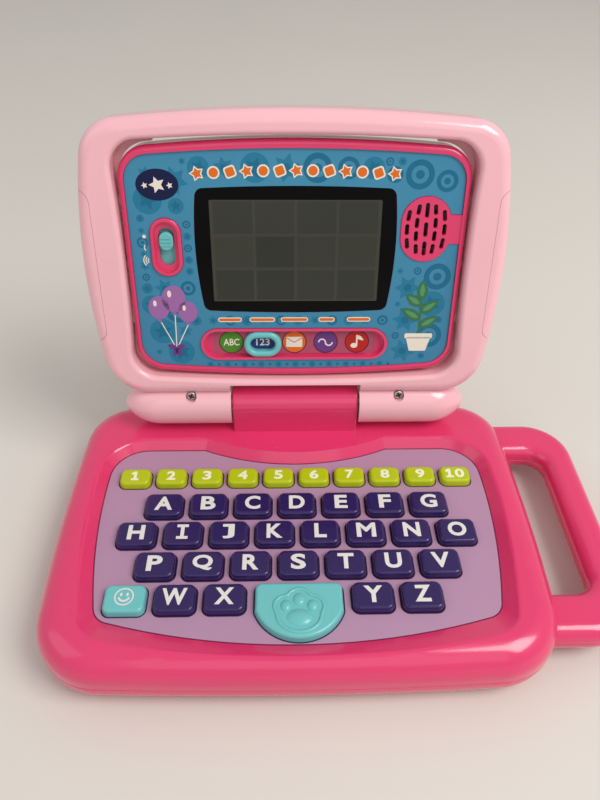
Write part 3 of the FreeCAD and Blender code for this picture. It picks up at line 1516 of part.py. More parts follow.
def make_screen_front_shell():
    body = new_body("screen_front_shell")
    top = D["screen_half_thick"]
    seat = D["plate_seat"]
    inside = seat - D["front_wall"]
    pad(body, draw_outline(new_sketch(body, 0), screen_stops()), top)
    round_screen_corners(body)
    round_edges(body, D["rim_edge_round"], lambda edge: lies_at(edge, top))
    bevel_edges(body, D["seam_bevel"], lambda edge: lies_at(edge, 0))
    cut(body, panel_block("panel_recess", seat, top - seat + 1))
    cut(body, screen_cavity("screen_front_cavity", as_size(-1), inside + 1))
    floor = D["trough_floor"] - 1.6
    pad(body, trough_sketch(body, floor), seat + D["trough_rise"] - floor)
    tub = inside - 1.6
    pad(body, volume_sketch(body, tub), seat + D["volume_rise"] - tub)
    pad(body, grille_sketch(body, inside), D["front_wall"] + D["grille_rise"])
    pad(body, grille_neck_sketch(body, inside), D["front_wall"] + D["grille_rise"])
    rise = seat + D["volume_rise"]
    round_edges(body, 0.8, lambda edge: lies_at(edge, rise))
    trough_top = seat + D["trough_rise"]
    pocket(body, trough_sketch(body, trough_top, D["trough_rim"]), trough_top - D["trough_floor"])
    pocket(body, volume_sketch(body, rise, D["volume_rim"]), D["volume_rise"] + 0.6)
    slot = upright_stadium_stops(
        D["volume_x"], D["volume_up"], D["volume_slot_width"], D["volume_slot_length"]
    )
    pocket(body, draw_outline(new_sketch(body, rise), slot), rise - tub + 1)
    cut_grille_slots(body, seat + D["grille_rise"], D["front_wall"] + D["grille_rise"] + 1)
    slit_length = D["mode_step"] * 4 + 10
    slit = stadium_stops(D["trough_shift"], D["mode_slit_up"], slit_length, D["mode_slit_width"])
    pocket(body, draw_outline(new_sketch(body, D["trough_floor"]), slit), as_size(3))
    cut(body, window_block("window_opening", inside - 1, D["front_wall"] + 2, as_size(0.2)))
    add_pivot_bearings(body, inside + 0.5, False)
    tilt_onto_lid(body)
    return body


def make_screen_rear_shell():
    body = new_body("screen_rear_shell")
    thick = D["screen_half_thick"]
    floor = thick - D["screen_wall"]
    pad(body, draw_outline(new_sketch(body, 0), screen_stops()), thick, down=True)
    round_screen_corners(body)
    round_edges(body, D["rim_edge_round"], lambda edge: lies_at(edge, -thick))
    bevel_edges(body, D["seam_bevel"], lambda edge: lies_at(edge, 0))
    cut(body, screen_cavity("screen_rear_cavity", -floor, floor + 1))
    cut(body, panel_block("rear_panel_recess", -thick - 1, as_size(1.8)))
    posts = new_sketch(body, -floor - 0.3)
    post_x = D["main_board_half_x"] - D["main_post_inset"]
    post_y = D["main_board_half_y"] - D["main_post_inset"]
    for x in (-1, 1):
        for y in (-1, 1):
            draw_circle(posts, post_x * x, D["screen_axis"] + post_y * y, D["post_radius"])
    pad(body, posts, as_size(1.9))
    add_pivot_bearings(body, floor + 0.3, True)
    tilt_onto_lid(body)
    return body


def make_front_panel():
    """Printed face plate with openings for the window, the controls and the grille."""
    gap = as_size(0.25)
    seat = D["plate_seat"]
    thick = D["plate_thick"]
    body = panel_block("front_panel", seat, thick, as_size(0.15))
    cut(body, window_block("panel_window", seat - 1, thick + 2, gap))
    top = seat + thick
    pocket(body, trough_sketch(body, top, -gap), thick)
    pocket(body, volume_sketch(body, top, -gap), thick)
    pocket(body, grille_sketch(body, top, -gap), thick)
    pocket(body, grille_neck_sketch(body, top, -gap), thick)
    tilt_onto_lid(body)
    return body


def make_touch_window():
    seat = D["plate_seat"]
    inside = seat - D["front_wall"]
    flange = D["window_flange"]
    face = seat + D["plate_thick"] - D["window_sink"]
    body = window_block("touch_window", inside - 0.4, face - inside + 0.4)
    join(body, window_block("touch_window_flange", inside - flange, flange, as_size(2)))
    tilt_onto_lid(body)
    return body


def make_lcd_panel():
    body = new_body("lcd_panel")
    top = D["plate_seat"] - D["front_wall"] - D["window_flange"]
    half_x = D["display_half_width"]
    margin = D["display_margin"]
    stops = box_stops(-half_x, half_x, D["window_foot"] + margin, D["window_top"] - margin)
    pad(body, draw_outline(new_sketch(body, top), stops), D["display_thick"], down=True)
    tilt_onto_lid(body)
    return body


def make_main_board():
    body = new_body("main_board")
    half_x = D["main_board_half_x"]
    half_y = D["main_board_half_y"]
    axis = D["screen_axis"]
    level = D["screen_wall"] - D["screen_half_thick"] + 1.6
    outline = box_stops(-half_x, half_x, axis - half_y, axis + half_y)
    pad(body, draw_outline(new_sketch(body, level), outline), D["board_thick"])
    tilt_onto_lid(body)
    return body


def make_speaker():
    """Speaker with its frame against the grille and its magnet behind."""
    body = new_body("speaker")
    front = D["plate_seat"] - D["front_wall"]
    depth = as_size(3)
    frame = draw_circle(new_sketch(body, front), D["grille_x"], D["grille_up"], D["speaker_radius"])
    pad(body, frame, depth, down=True)
    x = D["grille_x"]
    y = D["grille_up"]
    magnet = draw_circle(new_sketch(body, front - depth), x, y, D["speaker_radius"] * 0.55)
    pad(body, magnet, as_size(2.5), down=True)
    cone = draw_circle(new_sketch(body, front), x, y, D["speaker_radius"] * 0.8)
    pocket(body, cone, depth * 0.6)
    tilt_onto_lid(body)
    return body


def make_volume_slider():
    """Thumb piece with grip ridges on a tongue that covers the slot over the whole stroke."""
    body = new_body("volume_slider")
    seat = D["plate_seat"]
    tongue_top = seat - D["front_wall"] - 1.6 - D["rest_gap"]
    thick = as_size(1.2)
    x = D["volume_x"]
    knob = D["volume_knob_up"]
    half = D["volume_slot_length"] / 2
    low = D["volume_up"] - half - 1
    high = D["volume_up"] + half + D["volume_travel"] + 0.5
    wide = D["volume_slot_width"] / 2 + 1.6
    tongue = draw_outline(new_sketch(body, tongue_top), box_stops(x - wide, x + wide, low, high))
    pad(body, tongue, thick, down=True)
    width = D["volume_slot_width"] - D["slide_gap"] * 2
    length = D["volume_knob_length"]
    rise = seat + D["volume_rise"]
    stops = upright_stadium_stops(x, knob, width, length)
    pad(body, draw_outline(new_sketch(body, tongue_top - 0.5), stops), rise - tongue_top - 0.3)
    top = rise - 0.8
    round_edges(body, 0.6, lambda edge: lies_at(edge, top))
    for number in (-1, 0, 1):
        y = knob + length * 0.2 * number
        ridge = stadium_stops(x, y, width - 1.4, as_size(0.9))
        pad(body, draw_outline(new_sketch(body, top - 0.3), ridge), as_size(0.8))
    tilt_onto_lid(body)
    return body


def make_mode_slider():
    """Ring that frames one of the mode pictures, held by a foot through the slit behind it."""
    body = new_body("mode_slider")
    low = D["trough_floor"] + D["rest_gap"]
    top = D["mode_ring_top"]
    x = D["mode_rest_x"]
    y = D["trough_up"]
    ring = stadium_stops(x, y, D["mode_ring_length"], D["mode_ring_width"])
    pad(body, draw_outline(new_sketch(body, low), ring), top - low)
    hole = stadium_stops(x, y, D["mode_hole_length"], D["mode_hole_width"])
    pocket(body, draw_outline(new_sketch(body, top), hole), top - low)
    round_edges(body, D["mode_ring_edge"], lambda edge: lies_at(edge, top))
    slit = D["mode_slit_up"]
    thin = D["mode_slit_width"] / 2 - 0.3
    behind = D["trough_floor"] - 1.6 - D["rest_gap"]
    foot = box_stops(x - 4, x + 4, slit - thin, slit + thin)
    pad(body, draw_outline(new_sketch(body, behind - 0.5), foot), low - behind + 0.7)
    tail = box_stops(x - 5, x + 5, slit - 2, slit + 2)
    pad(body, draw_outline(new_sketch(body, behind), tail), as_size(1.2), down=True)
    tilt_onto_lid(body)
    return body


def check_document():
    """Stops the build when any object of the document failed."""
    doc.recompute()
    for thing in doc.Objects:
        if "Invalid" in thing.State or "Error" in thing.State:
            raise RuntimeError(f"{thing.Label} did not build")


def export(piece):
    shape = piece.Shape
    if shape.isNull() or not shape.isValid():
        raise RuntimeError(f"{piece.Label} has no valid shape")
    shape.exportStep(os.path.join("parts", piece.Label + ".step"))


pieces = [
    make_base_top_shell(),
    make_base_bottom_shell(),
    make_keyboard_deck(),
    make_key_membrane(),
    make_keyboard_board(),
    make_battery_door(),
    make_battery_contacts(),
    make_base_screws(),
    make_hinge_pins(),
    make_lid_half("lid_front_frame", True),
    make_lid_half("lid_rear_frame", False),
    make_lid_screws(),
    make_pivot_caps(),
    make_screen_front_shell(),
    make_screen_rear_shell(),
    make_front_panel(),
    make_touch_window(),
    make_lcd_panel(),
    make_main_board(),
    make_speaker(),
    make_volume_slider(),
    make_mode_slider(),
]
pieces.extend(make_keys())
check_document()
os.makedirs("parts", exist_ok=True)
for piece in pieces:
    export(piece)
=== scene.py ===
import json
import math

import bmesh
import bpy
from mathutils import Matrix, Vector


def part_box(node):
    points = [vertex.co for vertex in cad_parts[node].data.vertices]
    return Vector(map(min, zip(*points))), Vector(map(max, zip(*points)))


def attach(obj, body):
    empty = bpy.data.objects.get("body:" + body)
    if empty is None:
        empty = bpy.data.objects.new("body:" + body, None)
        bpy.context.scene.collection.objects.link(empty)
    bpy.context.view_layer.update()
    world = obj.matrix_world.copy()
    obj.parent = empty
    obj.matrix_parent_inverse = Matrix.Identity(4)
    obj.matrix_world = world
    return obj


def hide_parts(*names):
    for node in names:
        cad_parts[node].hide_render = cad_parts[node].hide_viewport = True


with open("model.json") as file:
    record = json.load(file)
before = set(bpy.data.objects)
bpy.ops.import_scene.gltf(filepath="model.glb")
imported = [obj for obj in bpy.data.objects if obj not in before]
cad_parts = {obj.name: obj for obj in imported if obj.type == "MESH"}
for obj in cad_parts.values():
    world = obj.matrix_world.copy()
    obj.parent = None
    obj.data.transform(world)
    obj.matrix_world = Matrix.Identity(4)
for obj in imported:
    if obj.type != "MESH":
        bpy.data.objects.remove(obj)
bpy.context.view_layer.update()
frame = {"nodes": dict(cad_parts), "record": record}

# Sizes and places are in mm, and become metres where a shape is made.
MM = 0.001
MERGE_REACH = 0.002
QUARTER = math.pi / 2
SIDES = (-1, 1)

# The open lid: its hinge in metres, its lean, and levels in front of its middle plane.
HINGE = Vector((0, 0.072, 0.049))
LID_LEAN = math.radians(76.3)
PLATE_FACE = 7.0
WINDOW_FACE = 6.8
TROUGH_FLOOR = 4.4

# Levels of the base, from the frame.
KEY_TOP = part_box("letter_key_a")[1][2] / MM
DECK_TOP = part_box("keyboard_deck")[1][2] / MM

# Ink is set into a face, stands out a step more for each layer, and rises a hair where shapes cross.
INK_DEPTH = 0.03
INK_STEP = 0.04
CROSSING_STEP = 0.012


# Modelling by hand: selection, shaping and placing.
def clear_selection():
    active = bpy.context.view_layer.objects.active
    if active and active.mode != "OBJECT":
        bpy.ops.object.mode_set(mode="OBJECT")
    bpy.ops.object.select_all(action="DESELECT")


def take(piece):
    """Makes one piece the only selected one."""
    clear_selection()
    piece.select_set(True)
    bpy.context.view_layer.objects.active = piece


def edit_whole(piece):
    take(piece)
    bpy.ops.object.mode_set(mode="EDIT")
    bpy.ops.mesh.select_mode(type="VERT")
    bpy.ops.mesh.select_all(action="SELECT")


def edit_points(piece, wanted):
    """Opens the piece with only the points that pass the test selected."""
    edit_whole(piece)
    bpy.ops.mesh.select_all(action="DESELECT")
    shape = bmesh.from_edit_mesh(piece.data)
    for number, point in enumerate(shape.verts):
        point.select = bool(wanted(number, point.co))
    shape.select_flush_mode()
    bmesh.update_edit_mesh(piece.data)


def close_edit():
    bpy.ops.object.mode_set(mode="OBJECT")


def settle(piece):
    """Puts a piece's place, turn and size into its mesh."""
    take(piece)
    bpy.ops.object.transform_apply(location=True, rotation=True, scale=True)
    return piece


def turned(piece, x, y, turn):
    piece.rotation_euler = (0, 0, turn)
    piece.location = (x * MM, y * MM, 0)
    return settle(piece)


def lifted(piece, level):
    piece.location = (0, 0, level * MM)
    return settle(piece)


def merged(shapes):
    clear_selection()
    for shape in shapes:
        shape.select_set(True)
    bpy.context.view_layer.objects.active = shapes[0]
    if len(shapes) > 1:
        bpy.ops.object.join()
    return bpy.context.view_layer.objects.active


def copied(piece):
    """A copy with its own mesh."""
    twin = piece.copy()
    twin.data = piece.data.copy()
    bpy.context.scene.collection.objects.link(twin)
    return twin


def apply_modifiers(piece):
    take(piece)
    for modifier in list(piece.modifiers):
        bpy.ops.object.modifier_apply(modifier=modifier.name)


def smooth_by_angle(piece, degrees):
    take(piece)
    bpy.ops.object.shade_smooth_by_angle(angle=math.radians(degrees))


def thickened(shape, rise):
    """A solid from a flat shape, its foot on the shape's own level."""
    edit_whole(shape)
    bpy.ops.mesh.extrude_region_move(TRANSFORM_OT_translate={"value": (0, 0, rise * MM)})
    bpy.ops.mesh.select_all(action="SELECT")
    bpy.ops.mesh.normals_make_consistent(inside=False)
    close_edit()
    return shape


# Flat shapes, before they become a layer of ink.
def disc(x, y, wide, tall=None, sides=40):
    clear_selection()
    bpy.ops.mesh.primitive_circle_add(vertices=sides, radius=MM, fill_type="NGON")
    shape = bpy.context.object
    shape.scale = (wide, tall or wide, 1)
    settle(shape)
    return turned(shape, x, y, 0)


def ring(x, y, outer, inner, sides=40):
    shape = disc(0, 0, outer, sides=sides)
    edit_whole(shape)
    bpy.ops.mesh.inset(thickness=(outer - inner) * MM)
    bpy.ops.mesh.delete(type="FACE")
    close_edit()
    return turned(shape, x, y, 0)


def star(x, y, reach, waist, turn=0.0, tips=5):
    shape = disc(0, 0, reach, sides=tips * 2)
    edit_points(shape, lambda number, place: number % 2 == 1)
    part = waist / reach
    bpy.ops.transform.resize(value=(part, part, 1), center_override=(0, 0, 0))
    close_edit()
    return turned(shape, x, y, turn)


def pill(x, y, length, width, turn=0.0):
    shape = disc(0, 0, width / 2, sides=32)
    spread = (length - width) / 2 * MM
    for side in SIDES:
        edit_points(shape, lambda number, place: place.x * side > 0.001 * MM)
        bpy.ops.transform.translate(value=(spread * side, 0, 0))
        close_edit()
    return turned(shape, x, y, turn)


def tile(x, y, width, height, corner, turn=0.0):
    clear_selection()
    bpy.ops.mesh.primitive_plane_add(size=MM)
    shape = bpy.context.object
    shape.scale = (width, height, 1)
    settle(shape)
    edit_whole(shape)
    bpy.ops.mesh.bevel(offset=corner * MM, segments=6, affect="VERTICES")
    close_edit()
    return turned(shape, x, y, turn)


# Parts of a leaf's length: where its front half and its tip begin, and how far the tip is drawn out.
LEAF_FRONT = 0.1
LEAF_TIP = 0.499
LEAF_POINT = 0.12
LEAF_TAPER = 0.82


def leaf(x, y, length, width, turn=0.0):
    """A petal that starts at x, y and comes to a point."""
    shape = disc(0, 0, length / 2, width / 2, sides=32)
    edit_points(shape, lambda number, place: place.x > LEAF_FRONT * length * MM)
    bpy.ops.transform.resize(value=(1.0, LEAF_TAPER, 1), center_override=(0, 0, 0))
    close_edit()
    edit_points(shape, lambda number, place: place.x > LEAF_TIP * length * MM)
    bpy.ops.transform.translate(value=(LEAF_POINT * length * MM, 0, 0))
    close_edit()
    edit_whole(shape)
    bpy.ops.transform.translate(value=(0.5 * length * MM, 0, 0))
    close_edit()
    return turned(shape, x, y, turn)


def arc_strip(x, y, radius, width, start, sweep):
    """A strip that runs clockwise along an arc, from a start and through a sweep in degrees."""
    clear_selection()
    bpy.ops.mesh.primitive_plane_add(size=width * MM, location=(radius * MM, 0, 0))
    shape = settle(bpy.context.object)
    edit_points(shape, lambda number, place: place.y > 0)
    bpy.ops.mesh.delete(type="VERT")
    close_edit()
    edit_whole(shape)
    bpy.ops.transform.translate(value=(0, width / 2 * MM, 0))
    bpy.ops.mesh.spin(steps=14, angle=math.radians(sweep), center=(0, 0, 0), axis=(0, 0, 1))
    close_edit()
    return turned(shape, x, y, math.radians(start))


def wedge(x, y, top, foot, height, corner):
    """A four sided shape, wider at its top."""
    shape = tile(0, 0, top, height, corner)
    edit_points(shape, lambda number, place: place.y < 0)
    bpy.ops.transform.resize(value=(foot / top, 1, 1), center_override=(0, 0, 0))
    close_edit()
    return turned(shape, x, y, 0)


# Solids that stand on a face. The weights and the core of lettering are parts of its type size.
BOLD_WEIGHT = 0.035
PLAIN_WEIGHT = 0.02
LETTER_CORE = 0.02


def lettering(text, x, y, wide, tall, thick, weight=BOLD_WEIGHT):
    """Solid capitals or figures of a given size, made bold by a bevel all round."""
    clear_selection()
    bpy.ops.object.text_add()
    shape = bpy.context.object
    shape.data.body = text
    shape.data.resolution_u = 4
    shape.data.extrude = LETTER_CORE
    shape.data.bevel_depth = weight
    shape.data.bevel_resolution = 1
    bpy.ops.object.convert(target="MESH")
    shape = bpy.context.object
    places = [point.co for point in shape.data.vertices]
    low = [min(place[axis] for place in places) for axis in range(3)]
    high = [max(place[axis] for place in places) for axis in range(3)]
    shape.location = (-(low[0] + high[0]) / 2, -(low[1] + high[1]) / 2, -low[2])
    settle(shape)
    wanted = (wide, tall, thick)
    shape.scale = [size * MM / (top - foot) for size, foot, top in zip(wanted, low, high)]
    settle(shape)
    return turned(shape, x, y, 0)


def raised(shapes, thick):
    """Solids from flat shapes that cross, each a hair higher than the one before."""
    return [thickened(shape, thick + CROSSING_STEP * number) for number, shape in enumerate(shapes)]


def onto_lid(piece):
    """Carries a piece drawn flat, hinge axis along X, onto the open lid."""
    piece.rotation_euler = (LID_LEAN, 0, 0)
    piece.location = HINGE
    return settle(piece)


def finished(piece, finish, body):
    piece.data.materials.clear()
    piece.data.materials.append(finish)
    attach(piece, body)
    return piece


def lay_solids(name, solids, finish, face, body, on_lid=True):
    """Joins solids that stand on a level of nought and sets them into a face."""
    piece = merged(solids)
    piece.name = name
    lifted(piece, face - INK_DEPTH)
    if on_lid:
        onto_lid(piece)
    return finished(piece, finish, body)


def ink_height(layer):
    return INK_DEPTH + INK_STEP * layer


def lay_ink(name, shapes, finish, face, layer, body, on_lid=True):
    """Turns flat shapes into one thin layer of ink on a face."""
    flat = merged(shapes)
    edit_whole(flat)
    bpy.ops.mesh.remove_doubles(threshold=MERGE_REACH * MM)
    close_edit()
    solids = raised([flat], ink_height(layer))
    return lay_solids(name, solids, finish, face, body, on_lid)


def print_on_plate(name, shapes, finish, layer):
    return lay_ink(name, shapes, finish, PLATE_FACE, layer, "screen")


def print_in_trough(name, shapes, finish, layer):
    return lay_ink(name, shapes, finish, TROUGH_FLOOR, layer, "screen")


# Shader building blocks.
def feed(tree, end, source):
    """Gives an input a plain value or another node's output."""
    if isinstance(source, bpy.types.NodeSocket):
        tree.links.new(source, end)
    else:
        end.default_value = source


def add_node(tree, kind, **inputs):
    """A new node with its inputs fed by name, a space in a name written as an underscore."""
    node = tree.nodes.new(kind)
    for name, source in inputs.items():
        feed(tree, node.inputs[name.replace("_", " ")], source)
    return node


def add_group(tree, group, **inputs):
    node = tree.nodes.new("ShaderNodeGroup")
    node.node_tree = group
    for name, source in inputs.items():
        feed(tree, node.inputs[name], source)
    return node


def noise(tree, place, scale, **inputs):
    return add_node(tree, "ShaderNodeTexNoise", Vector=place, Scale=scale, **inputs).outputs["Fac"]


def calculated(tree, operation, *terms):
    """The result of a Math node whose terms are numbers or other nodes' outputs."""
    node = tree.nodes.new("ShaderNodeMath")
    node.operation = operation
    for end, term in zip(node.inputs, terms):
        feed(tree, end, term)
    return node.outputs[0]


def spread_out(tree, value, low, high, most=1.0):
    """Nought below the low value, rising to the most at the high one."""
    limits = {"From_Min": low, "From_Max": high, "To_Max": most}
    return add_node(tree, "ShaderNodeMapRange", Value=value, **limits).outputs["Result"]


def blend_colours(tree, mask, first, second):
    mix = tree.nodes.new("ShaderNodeMix")
    mix.data_type = "RGBA"
    feed(tree, mix.inputs[6], (*first, 1))
    feed(tree, mix.inputs[7], (*second, 1))
    feed(tree, mix.inputs[0], mask)
    return mix.outputs[2]


def own_place(tree):
    return tree.nodes.new("ShaderNodeTexCoord").outputs["Object"]


def lid_place(tree):
    """Coordinates across and up the open lid."""
    turn = (LID_LEAN, 0, 0)
    flat = add_node(tree, "ShaderNodeMapping", Vector=own_place(tree), Location=HINGE, Rotation=turn)
    flat.vector_type = "TEXTURE"
    return flat.outputs["Vector"]


# Shared surface effects.
COLOUR = "NodeSocketColor"
VALUE = "NodeSocketFloat"


def new_group(name, inputs, outputs):
    """A shader group with named sockets, and the sockets of its two ends."""
    group = bpy.data.node_groups.new(name, "ShaderNodeTree")
    for label, (kind, value) in inputs.items():
        made = group.interface.new_socket(name=label, in_out="INPUT", socket_type=kind)
        made.default_value = value
    for label, kind in outputs.items():
        group.interface.new_socket(name=label, in_out="OUTPUT", socket_type=kind)
    given = group.nodes.new("NodeGroupInput").outputs
    result = group.nodes.new("NodeGroupOutput").inputs
    return group, given, result


def make_moulded_skin():
    """Tone drift, fine orange peel and uneven polish of moulded plastic."""
    inputs = {
        "Colour": (COLOUR, (0.8, 0.8, 0.8, 1)),
        "Drift": (VALUE, 0.05),
        "Grain": (VALUE, 900),
        "Polish": (VALUE, 0.3),
        "Haze": (VALUE, 0.08),
    }
    outputs = {"Colour": COLOUR, "Roughness": VALUE, "Height": VALUE}
    group, given, result = new_group("moulded_skin", inputs, outputs)
    place = own_place(group)
    flow = noise(group, place, scale=16, Detail=3)
    swing = calculated(group, "MULTIPLY_ADD", flow, 2, -1)
    level = calculated(group, "MULTIPLY_ADD", swing, given["Drift"], 1)
    tone = add_node(group, "ShaderNodeHueSaturation", Color=given["Colour"], Value=level)
    haze = noise(group, place, scale=75, Detail=5, Roughness=0.65)
    lift = calculated(group, "SUBTRACT", haze, 0.5)
    rough = calculated(group, "MULTIPLY_ADD", lift, given["Haze"], given["Polish"])
    feed(group, result["Colour"], tone.outputs["Color"])
    feed(group, result["Roughness"], rough)
    feed(group, result["Height"], noise(group, place, scale=given["Grain"], Detail=2))
    return group


def make_handling_marks():
    """Faint smudges and hair scratches; the mask is high where the gloss is dulled."""
    group, given, result = new_group("handling_marks", {"Amount": (VALUE, 0.2)}, {"Mask": VALUE})
    place = own_place(group)
    patch = spread_out(group, noise(group, place, scale=34, Detail=2), low=0.55, high=0.75)
    smear = noise(group, place, scale=210, Detail=4, Distortion=1.2)
    smudge = calculated(group, "MULTIPLY", smear, patch)
    stretch = add_node(group, "ShaderNodeMapping", Vector=place)
    feed(group, stretch.inputs["Rotation"], (0.3, 0.2, 0.7))
    feed(group, stretch.inputs["Scale"], (60, 1400, 1400))
    streaks = noise(group, stretch.outputs["Vector"], scale=1, Detail=1)
    hairs = spread_out(group, streaks, low=0.7, high=0.78, most=0.7)
    both = calculated(group, "MAXIMUM", smudge, hairs)
    feed(group, result["Mask"], calculated(group, "MULTIPLY", both, given["Amount"]))
    return group


MOULDED_SKIN = make_moulded_skin()
HANDLING_MARKS = make_handling_marks()


# Finishes.
PEEL_REACH = 0.4
COAT_POLISH = 0.08


def plastic(
    name, colour, polish=0.3, haze=0.08, drift=0.05, grain=900, peel=0.05, coat=0.0, marks=0.12, gleam=0.5
):
    """A moulded plastic with its own colour, gloss, skin and traces of use."""
    finish = bpy.data.materials.new(name)
    finish.use_nodes = True
    finish.diffuse_color = (*colour, 1)
    tree = finish.node_tree
    shader = tree.nodes["Principled BSDF"].inputs
    skin = add_group(tree, MOULDED_SKIN, Colour=(*colour, 1), Drift=drift, Grain=grain)
    feed(tree, skin.inputs["Polish"], polish)
    feed(tree, skin.inputs["Haze"], haze)
    used = add_group(tree, HANDLING_MARKS, Amount=marks)
    dulled = calculated(tree, "ADD", skin.outputs["Roughness"], used.outputs["Mask"])
    dulled.node.use_clamp = True
    bump = add_node(tree, "ShaderNodeBump", Strength=peel, Height=skin.outputs["Height"])
    feed(tree, bump.inputs["Distance"], PEEL_REACH * MM)
    feed(tree, shader["Specular IOR Level"], gleam)
    feed(tree, shader["Coat Weight"], coat)
    feed(tree, shader["Coat Roughness"], COAT_POLISH)
    feed(tree, shader["Base Color"], skin.outputs["Colour"])
    feed(tree, shader["Roughness"], dulled)
    feed(tree, shader["Normal"], bump.outputs["Normal"])
    return finish


def repaint(finish, colour):
    """Feeds the skin of a finish with a colour that changes over the surface."""
    groups = [node for node in finish.node_tree.nodes if node.type == "GROUP"]
    skin = next(node for node in groups if node.node_tree == MOULDED_SKIN)
    feed(finish.node_tree, skin.inputs["Colour"], colour)


def key_plastic(name, colour, **values):
    return plastic(name, colour, haze=0.1, grain=1500, peel=0.06, **values)


def ink(name, colour):
    values = {"polish": 0.38, "haze": 0.1, "drift": 0.04, "grain": 2400, "peel": 0.03}
    return plastic(name, colour, marks=0.05, gleam=0.25, **values)


def metal(name, colour, polish):
    finish = plastic(name, colour, polish=polish, haze=0.2, drift=0.12, grain=1800, peel=0.12, marks=0.25)
    finish.node_tree.nodes["Principled BSDF"].inputs["Metallic"].default_value = 1
    return finish


PLATE_FOOT = 25
PLATE_HEAD = 144


def printed_plate(name, upper, lower):
    """Printed face plate: its blue a little darker towards the foot, under a soft gloss."""
    values = {"polish": 0.34, "haze": 0.1, "drift": 0.06, "grain": 1600, "peel": 0.04}
    finish = plastic(name, upper, marks=0.1, gleam=0.3, **values)
    tree = finish.node_tree
    split = add_node(tree, "ShaderNodeSeparateXYZ", Vector=lid_place(tree))
    height = spread_out(tree, split.outputs["Y"], PLATE_FOOT * MM, PLATE_HEAD * MM)
    repaint(finish, blend_colours(tree, height, lower, upper))
    return finish


CELL_WIDE = 21.5
CELL_TALL = 17.9
CELL_LINE = 1.3
CELL_SHIFT = (43.0, -11.5)


def display_film(name, dark, pale):
    """Sleeping display: dull film with the ghosts of its picture cells behind it."""
    values = {"polish": 0.2, "haze": 0.06, "drift": 0.22, "grain": 2600, "peel": 0.01}
    finish = plastic(name, dark, gleam=0.3, marks=0.1, **values)
    tree = finish.node_tree
    shift = add_node(tree, "ShaderNodeMapping", Vector=lid_place(tree))
    feed(tree, shift.inputs["Location"], (CELL_SHIFT[0] * MM, CELL_SHIFT[1] * MM, 0))
    cells = add_node(tree, "ShaderNodeTexBrick", Vector=shift.outputs["Vector"], Scale=1, Mortar_Smooth=1)
    cells.offset = 0.0
    feed(tree, cells.inputs["Brick Width"], CELL_WIDE * MM)
    feed(tree, cells.inputs["Row Height"], CELL_TALL * MM)
    feed(tree, cells.inputs["Mortar Size"], CELL_LINE * MM)
    between = [0.4 * low + 0.6 * high for low, high in zip(dark, pale)]
    feed(tree, cells.inputs["Color1"], (*dark, 1))
    feed(tree, cells.inputs["Color2"], (*between, 1))
    feed(tree, cells.inputs["Mortar"], (*pale, 1))
    repaint(finish, cells.outputs["Color"])
    return finish


def circuit(name, colour, track):
    """Board lacquer with copper runs showing through."""
    finish = plastic(name, colour, polish=0.4, drift=0.1, grain=1400, peel=0.05)
    tree = finish.node_tree
    runs = add_node(tree, "ShaderNodeTexBrick", Vector=own_place(tree), Scale=160, Mortar_Size=0.06)
    feed(tree, runs.inputs["Color1"], (*colour, 1))
    feed(tree, runs.inputs["Color2"], (*colour, 1))
    feed(tree, runs.inputs["Mortar"], (*track, 1))
    repaint(finish, runs.outputs["Color"])
    return finish


HOT_PINK = plastic("hot_pink_gloss", (0.72, 0.036, 0.145), polish=0.2, coat=0.4)
LIGHT_PINK = plastic("light_pink_gloss", (0.88, 0.48, 0.54), polish=0.2, coat=0.4)
LAVENDER = plastic(
    "lavender_satin", (0.43, 0.245, 0.385), polish=0.5, haze=0.1, grain=2200, peel=0.12, marks=0.06
)
INDIGO = key_plastic("indigo_key", (0.022, 0.009, 0.092), polish=0.27, gleam=0.3, coat=0.35)
LIME = key_plastic("lime_key", (0.45, 0.54, 0.003), polish=0.32, gleam=0.3, coat=0.2)
TEAL = key_plastic("teal_key", (0.145, 0.51, 0.525), polish=0.3, gleam=0.4, coat=0.25)
PLATE_BLUE = printed_plate("plate_blue_print", (0.050, 0.25, 0.41), (0.045, 0.225, 0.38))
WINDOW_BLACK = plastic(
    "window_black", (0.002, 0.002, 0.002), polish=0.1, haze=0.04, grain=700, peel=0.004, gleam=0.1
)
DISPLAY = display_film("display_film", (0.026, 0.031, 0.023), (0.050, 0.051, 0.039))
RUBBER = plastic("grey_rubber", (0.42, 0.42, 0.44), polish=0.7, grain=1800, peel=0.2)
BOARD = circuit("board_lacquer", (0.02, 0.16, 0.06), (0.30, 0.22, 0.08))
BLACK = plastic("black_plastic", (0.012, 0.012, 0.013), polish=0.5, grain=1500, peel=0.1)
STEEL = metal("zinc_plated_steel", (0.55, 0.545, 0.53), polish=0.28)
WHITE_INK = ink("white_ink", (0.72, 0.71, 0.68))
CREAM_INK = ink("cream_ink", (0.80, 0.76, 0.66))
PALE_LIME_INK = ink("pale_lime_ink", (0.84, 0.86, 0.60))
DEEP_BLUE_INK = ink("deep_blue_ink", (0.010, 0.145, 0.265))
SOFT_BLUE_INK = ink("soft_blue_ink", (0.018, 0.188, 0.325))
NAVY_INK = ink("navy_ink", (0.004, 0.008, 0.055))
ROYAL_BLUE_INK = ink("royal_blue_ink", (0.020, 0.045, 0.21))
ORANGE_INK = ink("orange_ink", (0.70, 0.15, 0.015))
ROSE_INK = ink("rose_ink", (0.42, 0.08, 0.14))
PINK_INK = ink("pink_ink", (0.66, 0.05, 0.17))
GREEN_INK = ink("green_ink", (0.07, 0.26, 0.02))
LEAF_INK = ink("leaf_ink", (0.04, 0.17, 0.07))
PALE_LEAF_INK = ink("pale_leaf_ink", (0.09, 0.29, 0.13))
VIOLET_INK = ink("violet_ink", (0.14, 0.045, 0.23))
LILAC_INK = ink("lilac_ink", (0.33, 0.14, 0.38))
RED_INK = ink("red_ink", (0.47, 0.018, 0.014))
